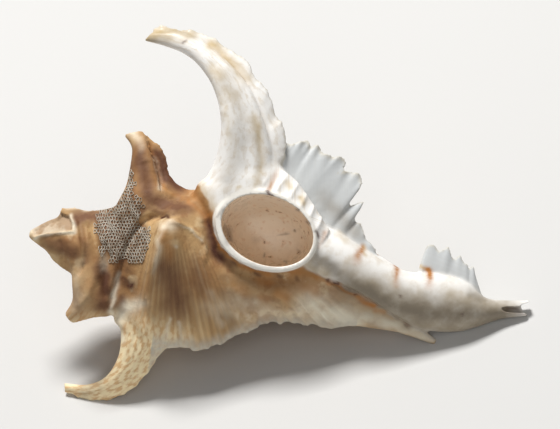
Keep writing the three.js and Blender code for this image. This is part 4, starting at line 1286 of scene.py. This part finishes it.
    def threads(self, points: Points, places: Points, regions: np.ndarray,
                width: Points) -> tuple[Points, Points]:
        """Find the places across and along the fine streaks of colour.

        Args:
            points: The places.
            places: The same in the front view.
            regions: The numbers of the forms they lie on.
            width: The shares across a blade.

        Returns:
            The place across and the place along.
        """
        thread, along = self.form.threads.across(places)
        _, share, _ = self.round_mouth(points)
        for region, across, length in ((Region.LIP_SPINE, 9.0, 32.0), (Region.LIP_CREST, 4.0, 26.0)):
            here = self.among(regions, region)
            thread = np.where(here, across * width + 40, thread)
            along = np.where(here, length * share, along)
        canal = self.among(regions, Region.CANAL)
        return np.where(canal, places[:, 1] * 0.4 + 90, thread), np.where(canal, places[:, 0] * 4, along)

    def among(self, numbers: np.ndarray, *regions: Region) -> np.ndarray:
        """Return which numbers stand for one of the regions."""
        order = list(Region)
        return np.isin(numbers, [order.index(region) for region in regions])

    def nearest(self, points: Points) -> tuple[np.ndarray, Points]:
        """Find the form that each point lies on.

        Args:
            points: The places.

        Returns:
            The region's number, and the share across a blade from its inner to its outer edge.
        """
        lofts = self.form.lofts()
        total = sum(loft.rings.shape[0] * loft.rings.shape[1] for loft in lofts)
        tree = KDTree(total)
        codes, widths = np.empty(total, int), np.empty(total)
        order, place = list(Region), 0
        for loft in lofts:
            count, around = loft.rings.shape[:2]
            across = np.tile((1 - np.cos(2 * np.pi * np.arange(around) / around)) / 2, count)
            part = slice(place, place + count * around)
            codes[part], widths[part] = order.index(loft.region), across
            for point in loft.rings.reshape(-1, 3):
                tree.insert(point, place)
                place += 1
        tree.balance()
        found = np.array([tree.find(point)[1] for point in points])
        return codes[found], widths[found]

    def hollow(self, points: Points, near: np.ndarray) -> np.ndarray:
        """Return which points lie on the wall of the room inside the mouth.

        Args:
            points: The places.
            near: Which of them may lie there.

        Returns:
            True or False for each point.
        """
        rings = self.form.mouth.hollow_loft().rings
        count, around = rings.shape[:2]
        faces = [
            (row * around + column, row * around + (column + 1) % around,
             (row + 1) * around + (column + 1) % around, (row + 1) * around + column)
            for row in range(count - 1) for column in range(around)
        ]
        corners = [Vector(point) for point in rings.reshape(-1, 3)]
        tree = BVHTree.FromPolygons(corners, [*faces, tuple(range(around))])
        found = np.zeros(len(points), bool)
        for index in np.flatnonzero(near):
            found[index] = tree.find_nearest(Vector(points[index]), 0.09)[0] is not None
        return found

    def soften(self, value: Points, edges: np.ndarray, rounds: int) -> Points:
        """Blur a value over the surface.

        Args:
            value: One number for each vertex.
            edges: The pairs of vertices that share an edge.
            rounds: How often it is averaged with its neighbours.

        Returns:
            The blurred value.
        """
        blurred = value.astype(float)[:, None]
        count = np.bincount(edges.ravel(), minlength=len(value))[:, None]
        for _ in range(rounds):
            blurred = (blurred + neighbour_sum(blurred, edges)) / (1 + count)
        return blurred[:, 0]

    def fan(self, places: Points, spine: Points) -> Points:
        """Find where the threads of the whorl show.

        Args:
            places: Places of the front view.
            spine: How much each belongs to the low spine, from 0 to 1.

        Returns:
            One value for each place, from 0 to 1.
        """
        right, up = places[:, 0], places[:, 1]
        sides = ease((right - 14.0 - 0.12 * up) / 2.0) * ease((25.0 - 0.35 * up - right) / 4.0)
        return np.maximum(sides * ease((-0.3 - up) / 4.0), 0.4 * spine)

    def margin(self, points: Points, regions: np.ndarray, width: Points) -> Points:
        """Find the thin outer edges.

        Args:
            points: The places.
            regions: The numbers of the forms they lie on.
            width: The shares across a blade.

        Returns:
            How close each point is to such an edge, from 0 to 1.
        """
        blades = self.among(regions, Region.LIP_WING, Region.CANAL_FIN, Region.BACK_WING, Region.LIP_CREST)
        near = np.where(blades, ease((width - 0.9) / 0.09), 0.0)
        reach = np.hypot(points[:, 1], points[:, 2])
        angle = np.degrees(np.arctan2(points[:, 2], points[:, 1])) % 360
        grid = np.linspace(16, 44, 57)
        edge = np.interp(points[:, 0], grid, self.form.whorls.radius(grid, np.array([165.0]))[:, 0])
        low = hump((angle - 165) / 12) * ease((reach - edge + 1.6) / 1.4)
        return np.maximum(near, low * (points[:, 0] > 18) * (points[:, 0] < 44))


def new_object(name: str, bm: bmesh.types.BMesh) -> bpy.types.Object:
    """Turn a bmesh into an object of the scene.

    Args:
        name: The object's name.
        bm: Its mesh, which is freed.

    Returns:
        The object.
    """
    mesh = bpy.data.meshes.new(name)
    bm.to_mesh(mesh)
    bm.free()
    made = bpy.data.objects.new(name, mesh)
    bpy.context.scene.collection.objects.link(made)
    return made


def apply_modifiers(obj: bpy.types.Object) -> None:
    """Bake an object's modifiers into its mesh.

    Args:
        obj: The object.
    """
    graph = bpy.context.evaluated_depsgraph_get()
    mesh = bpy.data.meshes.new_from_object(obj.evaluated_get(graph), depsgraph=graph)
    obj.modifiers.clear()
    old, obj.data = obj.data, mesh
    bpy.data.meshes.remove(old)


def remesh(obj: bpy.types.Object, voxel: float) -> None:
    """Rebuild an object's surface from voxels, which fuses what overlaps.

    Args:
        obj: The object.
        voxel: The voxels' size.
    """
    modifier = obj.modifiers.new("fuse", "REMESH")
    modifier.mode, modifier.voxel_size, modifier.adaptivity = "VOXEL", voxel, 0.0
    apply_modifiers(obj)


def coordinates(obj: bpy.types.Object) -> Points:
    """Read an object's vertices.

    Args:
        obj: The object.

    Returns:
        Their places, one row each.
    """
    flat = np.empty(3 * len(obj.data.vertices), np.float32)
    obj.data.vertices.foreach_get("co", flat)
    return flat.reshape(-1, 3).astype(float)


def set_coordinates(obj: bpy.types.Object, points: Points) -> None:
    """Move an object's vertices to new places."""
    obj.data.vertices.foreach_set("co", points.astype(np.float32).ravel())
    obj.data.update()


def vertex_normals(obj: bpy.types.Object) -> Points:
    """Read the normals of an object's vertices.

    Args:
        obj: The object.

    Returns:
        The normals, one row each.
    """
    flat = np.empty(3 * len(obj.data.vertices), np.float32)
    obj.data.vertex_normals.foreach_get("vector", flat)
    return flat.reshape(-1, 3).astype(float)


def edge_pairs(obj: bpy.types.Object) -> np.ndarray:
    """Read the edges of an object.

    Args:
        obj: The object.

    Returns:
        The numbers of each edge's two vertices.
    """
    flat = np.empty(2 * len(obj.data.edges), np.int32)
    obj.data.edges.foreach_get("vertices", flat)
    return flat.reshape(-1, 2)


def neighbour_sum(values: Points, edges: np.ndarray) -> Points:
    """Add up the values of each vertex's neighbours.

    Args:
        values: One row for each vertex.
        edges: The pairs of vertices that share an edge.

    Returns:
        One row for each vertex.
    """
    columns = []
    for column in values.T:
        first = np.bincount(edges[:, 0], column[edges[:, 1]], len(values))
        columns.append(first + np.bincount(edges[:, 1], column[edges[:, 0]], len(values)))
    return np.stack(columns, axis=1)


def settle(obj: bpy.types.Object) -> None:
    """Flatten what would reach below the floor, as the shell's worn points of contact.

    Args:
        obj: The object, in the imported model's frame.
    """
    points = coordinates(obj)
    points[:, 2] = np.maximum(points[:, 2], 0.0)
    set_coordinates(obj, points)


class Value:
    """A number's socket in a node tree, with arithmetic that adds Math nodes."""

    def __init__(self, graph: "Graph", socket: bpy.types.NodeSocket) -> None:
        """Wrap a socket."""
        self.graph, self.socket = graph, socket

    def join(self, operation: str, *others: "Value | float", swap: bool = False) -> "Value":
        """Return a Math node's result on this value and others; with `swap` this value comes last."""
        inputs = (*others, self) if swap else (self, *others)
        return self.graph.add("ShaderNodeMath", {"operation": operation}, dict(enumerate(inputs)))

    def __add__(self, other: "Value | float") -> "Value":
        """Return the sum."""
        return self.join("ADD", other)

    __radd__ = __add__

    def __sub__(self, other: "Value | float") -> "Value":
        """Return the difference."""
        return self.join("SUBTRACT", other)

    def __rsub__(self, other: "Value | float") -> "Value":
        """Return the difference, the other way round."""
        return self.join("SUBTRACT", other, swap=True)

    def __mul__(self, other: "Value | float") -> "Value":
        """Return the product."""
        return self.join("MULTIPLY", other)

    __rmul__ = __mul__

    def wave(self) -> "Value":
        """Return the sine."""
        return self.join("SINE")

    def clamp(self) -> "Value":
        """Return the value held between 0 and 1."""
        return self.graph.add("ShaderNodeClamp", {}, {0: self})

    def step(self, low: float, high: float) -> "Value":
        """Return a smooth step from 0 at `low` to 1 at `high`."""
        settings = {"interpolation_type": "SMOOTHSTEP"}
        return self.graph.add("ShaderNodeMapRange", settings, {0: self, 1: low, 2: high})


class Graph:
    """A material's node tree."""

    def __init__(self, name: str) -> None:
        """Start a material with a bare shader.

        Args:
            name: The material's name.
        """
        self.material = bpy.data.materials.new(name)
        self.material.use_nodes = True
        self.tree = self.material.node_tree
        self.shader = self.tree.nodes["Principled BSDF"]
        self.place = self.add("ShaderNodeTexCoord", {}, {}, "Object").socket

    def add(self, kind: str, settings: dict[str, object], inputs: dict[int | str, object],
            output: int | str = 0) -> Value:
        """Add a node.

        Args:
            kind: The node's type.
            settings: Its properties, which are set first.
            inputs: The values or links of its sockets.
            output: Which of its results is returned.

        Returns:
            The result.
        """
        node = self.tree.nodes.new(kind)
        for name, setting in settings.items():
            setattr(node, name, setting)
        for key, value in inputs.items():
            self.feed(node.inputs[key], value)
        return Value(self, node.outputs[output])

    def feed(self, socket: bpy.types.NodeSocket, value: object) -> None:
        """Set or link a socket.

        Args:
            socket: The socket.
            value: A Value, another socket, a number or a colour.
        """
        if isinstance(value, Value):
            value = value.socket
        if isinstance(value, bpy.types.NodeSocket):
            self.tree.links.new(value, socket)
        elif isinstance(value, tuple) and len(value) == 3 and socket.type == "RGBA":
            socket.default_value = (*value, 1.0)
        else:
            socket.default_value = value

    def attribute(self, name: str) -> Value:
        """Return a value of the vertices."""
        return self.add("ShaderNodeAttribute", {"attribute_name": name}, {}, "Fac")

    def noise(self, scale: float, detail: float = 3.0, rough: float = 0.55) -> Value:
        """Return clouds from 0 to 1, with `scale` swells to the metre and finer layers in them."""
        inputs = {"Vector": self.place, "Scale": scale, "Detail": detail, "Roughness": rough}
        return self.add("ShaderNodeTexNoise", {}, inputs)

    def flow(self, across: Value, along: Value, scale: float) -> Value:
        """Draw clouds out along the threads.

        Args:
            across: The place across the threads.
            along: The place along them.
            scale: The clouds' swells to each unit of the places.

        Returns:
            The clouds, from 0 to 1.
        """
        place = self.add("ShaderNodeCombineXYZ", {}, {0: across, 1: along})
        inputs = {"Vector": place, "Scale": scale, "Detail": 3.0, "Roughness": 0.5}
        return self.add("ShaderNodeTexNoise", {}, inputs)

    def mix(self, share: Value | float, low: object, high: object) -> Value:
        """Return a mix of two colours, with `share` of the second."""
        settings = {"data_type": "RGBA", "clamp_factor": True}
        return self.add("ShaderNodeMix", settings, {0: share, 6: low, 7: high}, 2)

    def bump(self, height: Value, depth: float) -> None:
        """Lay relief of a height from about 0 to 1 on the surface, `depth` metres deep."""
        normal = self.add("ShaderNodeBump", {}, {"Height": height, "Distance": depth}, "Normal")
        self.feed(self.shader.inputs["Normal"], normal)


@dataclass(frozen=True)
class ShellFinish:
    """The shell's colours and gloss, in linear light."""

    enamel: Vec3 = (0.92, 0.895, 0.85)
    enamel_shade: Vec3 = (0.66, 0.56, 0.43)
    frill: Vec3 = (0.54, 0.56, 0.56)
    tan: Vec3 = (0.36, 0.18, 0.066)
    tan_light: Vec3 = (0.56, 0.36, 0.165)
    groove: Vec3 = (0.25, 0.12, 0.045)
    cream: Vec3 = (0.97, 0.80, 0.50)
    mottle: Vec3 = (0.58, 0.27, 0.07)
    brown: Vec3 = (0.16, 0.070, 0.030)
    stain: Vec3 = (0.42, 0.17, 0.04)
    dark: Vec3 = (0.070, 0.020, 0.009)
    pale: Vec3 = (0.86, 0.78, 0.61)
    yellow: Vec3 = (0.56, 0.42, 0.22)
    margin: Vec3 = (0.58, 0.54, 0.45)
    mouth: Vec3 = (0.97, 0.87, 0.73)
    mouth_deep: Vec3 = (0.92, 0.78, 0.62)
    mouth_low: Vec3 = (0.78, 0.60, 0.43)
    rim: Vec3 = (0.86, 0.82, 0.74)
    window: Vec3 = (0.38, 0.26, 0.16)
    # The grey-brown of the painted shade strokes
    shade: Vec3 = (0.26, 0.215, 0.155)
    spot: Vec3 = (0.30, 0.14, 0.05)

    thread_pitch: float = 0.8  # mm from one painted thread to the next
    gloss: float = 0.35
    relief: float = 0.00012  # metres

    def material(self) -> bpy.types.Material:
        """Build the material.

        Returns:
            The material.
        """
        graph = Graph("shell")
        value = {name: graph.attribute(name) for name in (
            "glaze", "stain", "dark", "brown", "pale", "yellow", "mouth", "rim", "frill", "ridge", "spine",
            "old", "margin", "thread", "along", "cavity", "window", "fan", "crust", "mouth_low", "shade",
        )}
        broad, middle, fine = graph.noise(140, 3), graph.noise(420, 4), graph.noise(1500, 3)
        streak = graph.flow(value["thread"], value["along"] * 0.1, 1.3)
        fleck = graph.flow(value["thread"], value["along"] * 0.45, 2.1)
        lines = (value["thread"] * (2 * math.pi / self.thread_pitch) + broad * 3.0).wave() * 0.5 + 0.5

        tan = self.whorl(graph, value, broad, middle, streak, fleck, lines)
        enamel = graph.mix((middle.step(0.45, 0.75) * 0.3).clamp(), self.enamel, self.enamel_shade)
        enamel = graph.mix((streak.step(0.45, 0.7) * 0.5).clamp(), enamel, self.enamel_shade)
        enamel = graph.mix(value["frill"] * 0.85, enamel, self.frill)
        enamel = graph.mix((value["yellow"] * (0.2 + middle * 1.4)).clamp(), enamel, self.yellow)
        # Painted shade on the enamel
        enamel = graph.mix((value["shade"] * (0.5 + middle)).clamp(), enamel, self.shade)
        white = (value["glaze"] + (middle - 0.5) * 0.6).step(-0.25, 0.25)
        colour = graph.mix(white, tan, enamel)
        colour = graph.mix((value["margin"] * (0.3 + fine)).clamp(), colour, self.margin)
        # Browner in the surface's concave places
        colour = graph.mix((value["cavity"].step(0.1, 0.9) * 0.6).clamp(), colour, self.brown)
        colour = graph.mix((value["stain"] * (middle * 2.0)).clamp(), colour, self.stain)
        colour = graph.mix(value["rim"], colour, self.rim)
        floor = graph.mix(middle.step(0.44, 0.58) * 0.4, self.window, self.pale)
        colour = graph.mix((value["window"] * (0.6 + fine * 0.6)).clamp(), colour, floor)
        inner = graph.mix(broad.step(0.35, 0.7), self.mouth, self.mouth_deep)
        specks = graph.noise(1300, 2, 0.4)
        inner = graph.mix(value["mouth_low"], inner, self.mouth_low)
        inner = graph.mix(specks.step(0.56, 0.70) * 0.25, inner, self.mottle)
        inner = graph.mix(specks.step(0.70, 0.76) * 0.6, inner, self.brown)
        colour = graph.mix(value["mouth"], colour, inner)
        colour = graph.mix((value["dark"] * (0.4 + fine * 1.2)).clamp(), colour, self.dark)
        graph.feed(graph.shader.inputs["Base Color"], colour)
        rough = 0.7 - white * 0.32 + value["ridge"] * 0.15 + value["frill"] * 0.15 - value["mouth"] * 0.1
        graph.feed(graph.shader.inputs["Roughness"], rough + (fine - 0.5) * 0.15)
        graph.feed(graph.shader.inputs["Specular IOR Level"], self.gloss)
        matt = (1 - white) * (1 - value["mouth"])
        threads = (lines * 0.5 + streak * 0.5) * matt * (0.03 + value["fan"])
        graph.bump(threads + fine * (0.2 + matt * 0.4) + middle * 0.4, self.relief)
        return graph.material

    def whorl(self, graph: Graph, value: dict[str, Value], broad: Value, middle: Value, streak: Value,
              fleck: Value, lines: Value) -> Value:
        """Mix the colour of the whorls and the worn spines.

        Args:
            graph: The material's tree.
            value: The vertices' values, by name.
            broad: Large clouds.
            middle: Middling clouds.
            streak: Streaks along the threads.
            fleck: Short flecks along the threads.
            lines: The threads, 1 on their crests.

        Returns:
            The colour.
        """
        tan = graph.mix(broad.step(0.3, 0.72), self.tan, self.tan_light)
        grain = middle + (streak - middle) * value["fan"]
        tan = graph.mix((streak.step(0.46, 0.75) * value["fan"] * 0.25).clamp(), tan, self.cream)
        tan = graph.mix(((1 - streak).step(0.48, 0.72) * value["fan"] * 0.25).clamp(), tan, self.groove)
        spots = graph.noise(760, 2, 0.4).step(0.54, 0.68)
        tan = graph.mix((spots * (1 - value["fan"]) * 0.55).clamp(), tan, self.spot)
        tan = graph.mix(((1 - lines) * value["fan"] * 0.35).clamp(), tan, self.groove)
        tan = graph.mix((middle.step(0.52, 0.70) * (1 - value["fan"]) * 0.4).clamp(), tan, self.cream)
        tan = graph.mix(((1 - middle).step(0.54, 0.70) * (1 - value["fan"]) * 0.5).clamp(), tan, self.groove)
        old = graph.mix(broad.step(0.38, 0.62), self.tan, self.tan_light)
        tan = graph.mix(value["old"] * 0.6, tan, old)
        spine = graph.mix(fleck.step(0.42, 0.64) * 0.62, self.cream, self.mottle)
        tan = graph.mix(value["spine"], tan, spine)
        tan = graph.mix((value["brown"] * (0.25 + grain + middle * 0.5)).clamp(), tan, self.brown)
        tan = graph.mix((value["pale"] * (grain * 0.7 + middle * 1.2)).clamp(), tan, self.pale)
        # Painted shade on the tan
        tan = graph.mix((value["shade"] * (0.1 + middle)).clamp(), tan, self.shade)
        return graph.mix((value["crust"] * 0.85).clamp(), tan, self.brown)


@dataclass
class Crust:
    """The lacy crust of moss animals on the shoulder: walls of small round cells that open outwards."""

    outline: tuple[tuple[float, float], ...] = CRUST_OUTLINE
    pitch: float = 0.37
    wall: float = 0.125
    ragged: float = 0.45
    height: float = 0.15
    jitter: float = 0.075
    drift: float = 0.12
    stretch: float = 1.3

    def build(self, shell: bpy.types.Object) -> bpy.types.Object:
        """Lay the crust on the shell.

        Args:
            shell: The finished surface, in the growth frame.

        Returns:
            The crust, in the growth frame.
        """
        corners = [vert.co for vert in shell.data.vertices]
        tree = BVHTree.FromPolygons(corners, [polygon.vertices for polygon in shell.data.polygons])
        bm = bmesh.new()
        outline = np.array(self.outline)
        low, high = outline.min(axis=0), outline.max(axis=0)
        rise = self.pitch * math.sqrt(3) / 2 * self.stretch
        for row in range(int((high[1] - low[1]) / rise) + 2):
            for column in range(int((high[0] - low[0]) / self.pitch) + 2):
                middle = Vector((low[0] + (column + row % 2 / 2) * self.pitch, low[1] + row * rise, 0))
                place = np.array([middle[:2]])
                stray = self.ragged * wave(np.append(place, [[0.0]], axis=1), 0.6, 1.1)
                if not inside_of(self.outline, place + stray)[0]:
                    continue
                radius = self.pitch / math.sqrt(3)
                cell = bmesh.ops.create_circle(bm, cap_ends=True, segments=6, radius=radius)["verts"]
                bmesh.ops.rotate(bm, verts=cell, matrix=Matrix.Rotation(math.pi / 6, 3, "Z"))
                bmesh.ops.scale(bm, verts=cell, vec=(1, self.stretch, 1))
                bmesh.ops.translate(bm, verts=cell, vec=middle)
        bmesh.ops.remove_doubles(bm, verts=bm.verts, dist=self.pitch * 0.12)
        places = np.array([vert.co for vert in bm.verts])
        shift = self.jitter * np.stack([
            wave(places * (3.1, 3.7, 1), 0.5, 2.3), wave(places * (2.9, 3.3, 1), 0.5, 5.9),
        ], axis=1)
        shift += self.drift * np.stack([wave(places, 1.3, 0.4), wave(places, 1.3, 3.7)], axis=1)
        for vert, move in zip(bm.verts, shift):
            vert.co += Vector((*move, 0))
        cells = bm.faces[:]
        bmesh.ops.inset_individual(bm, faces=cells, thickness=self.wall / 2, use_even_offset=False)
        bmesh.ops.delete(bm, geom=cells, context="FACES")
        self.settle(bm, tree)
        raised = bmesh.ops.extrude_face_region(bm, geom=bm.faces[:], use_keep_orig=True)["geom"]
        for vert in (part for part in raised if isinstance(part, bmesh.types.BMVert)):
            vert.co += tree.find_nearest(vert.co)[1] * self.height
        bmesh.ops.recalc_face_normals(bm, faces=bm.faces)
        return new_object("crust_net", bm)

    def settle(self, bm: bmesh.types.BMesh, tree: BVHTree) -> None:
        """Drop the flat net on the shell's surface.

        Args:
            bm: The net, flat in the front view.
            tree: The shell's surface.
        """
        turn = Matrix.Rotation(math.radians(PHOTO_TURN), 3, "Z")
        lost = []
        for vert in bm.verts:
            place = turn @ vert.co
            hit, normal, _, _ = tree.ray_cast(Vector((place.x, place.y, 40)), Vector((0, 0, -1)))
            if hit is None or normal.z < 0.2:
                lost.append(vert)
            else:
                vert.co = hit - normal * self.height * 0.25
        bmesh.ops.delete(bm, geom=lost, context="VERTS")


@dataclass(frozen=True)
class CrustFinish:
    """The crust's chalky colour."""

    chalk: Vec3 = (0.50, 0.45, 0.37)
    shade: Vec3 = (0.28, 0.22, 0.155)

    relief: float = 0.00004  # metres

    def material(self) -> bpy.types.Material:
        """Build the material.

        Returns:
            The material.
        """
        graph = Graph("crust")
        colour = graph.mix(graph.noise(900, 3).step(0.4, 0.65), self.chalk, self.shade)
        graph.feed(graph.shader.inputs["Base Color"], colour)
        graph.feed(graph.shader.inputs["Roughness"], 0.6 + graph.noise(500) * 0.3)
        graph.bump(graph.noise(4000, 3), self.relief)
        return graph.material


@dataclass(frozen=True)
class SoftLight:
    """A soft square light: where it hangs and its side, in metres, and its power in watts."""

    name: str
    place: Vec3
    size: float
    power: float


@dataclass
class Studio:
    """The camera at the photograph's angle, the soft lights and the pale floor."""

    distance: float = CAMERA_DISTANCE
    sensor: float = 36.0
    lights: tuple[SoftLight, ...] = (
        SoftLight("key", (-0.08, 0.22, 0.55), 0.15, 4.5), SoftLight("fill", (0.12, -0.42, 0.46), 0.45, 0.7),
    )
    aim: Vec3 = (0.0, 0.0, 0.012)
    floor_size: float = 1.6
    floor_colour: Vec3 = (0.60, 0.59, 0.57)
    floor_rough: float = 0.85
    sky: Vec3 = (0.8, 0.82, 0.85)
    sky_strength: float = 0.22

    def camera(self, pose: RestPose) -> None:
        """Place the camera so that the growth frame fills the photograph's frame.

        Args:
            pose: The shell's resting pose.
        """
        basis = pose.basis()
        turn = math.radians(PHOTO_TURN)
        right = basis @ Vector((math.cos(turn), math.sin(turn), 0))
        up = basis @ Vector((-math.sin(turn), math.cos(turn), 0))
        back = basis @ Vector((0, 0, 1))
        middle = pose.matrix() @ Vector(PHOTO_MIDDLE)
        data = bpy.data.cameras.new("camera")
        data.sensor_width = self.sensor
        data.lens = data.sensor_width * self.distance / PHOTO_WIDTH
        data.clip_start, data.clip_end = 0.01, 20.0
        camera = bpy.data.objects.new("camera", data)
        turned = Matrix((right, up, back)).transposed().to_4x4()
        camera.matrix_world = Matrix.Translation(middle + back * self.distance * MM) @ turned
        bpy.context.scene.collection.objects.link(camera)
        bpy.context.scene.camera = camera

    def hang(self, soft: SoftLight) -> None:
        """Add a light that faces the shell.

        Args:
            soft: The light.
        """
        data = bpy.data.lights.new(soft.name, "AREA")
        data.size, data.energy = soft.size, soft.power
        light = bpy.data.objects.new(soft.name, data)
        light.location = soft.place
        light.rotation_euler = (Vector(self.aim) - Vector(soft.place)).to_track_quat("-Z", "Y").to_euler()
        bpy.context.scene.collection.objects.link(light)

    def floor(self) -> None:
        """Lay the plain pale floor."""
        bm = bmesh.new()
        bmesh.ops.create_grid(bm, x_segments=1, y_segments=1, size=self.floor_size / 2)
        floor = new_object("floor", bm)
        material = bpy.data.materials.new("floor")
        material.use_nodes = True
        shader = material.node_tree.nodes["Principled BSDF"]
        shader.inputs["Base Color"].default_value = (*self.floor_colour, 1.0)
        shader.inputs["Roughness"].default_value = self.floor_rough
        floor.data.materials.append(material)

    def build(self, pose: RestPose) -> None:
        """Set everything up.

        Args:
            pose: The shell's resting pose.
        """
        self.camera(pose)
        for soft in self.lights:
            self.hang(soft)
        self.floor()
        world = bpy.data.worlds.new("world")
        world.use_nodes = True
        background = world.node_tree.nodes["Background"]
        background.inputs["Color"].default_value = (*self.sky, 1.0)
        background.inputs["Strength"].default_value = self.sky_strength
        bpy.context.scene.world = world
        bpy.context.scene.view_settings.view_transform = "Standard"


def main() -> None:
    """Build the shell and its crust, dress them and light them."""
    logging.basicConfig(level=logging.INFO, format="%(message)s")
    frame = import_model()
    LOG.info("packed model: %d nodes", len(frame["nodes"]))
    pose = RestPose()
    Studio().build(pose)
    form = ShellForm()
    shell = form.build()
    Masks(form).dress(shell)
    crust = Crust().build(shell)
    crust.data.transform(pose.matrix())
    crust.data.materials.append(CrustFinish().material())
    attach(crust, "root")
    LOG.info("crust_net: %d faces", len(crust.data.polygons))
    shell.data.transform(pose.matrix())
    settle(shell)
    shell.data.shade_smooth()
    shell.data.materials.clear()
    shell.data.materials.append(ShellFinish().material())
    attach(shell, "root")
    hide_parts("shell")
    LOG.info("shell_surface: %d faces", len(shell.data.polygons))


if __name__ == "__main__":
    main()
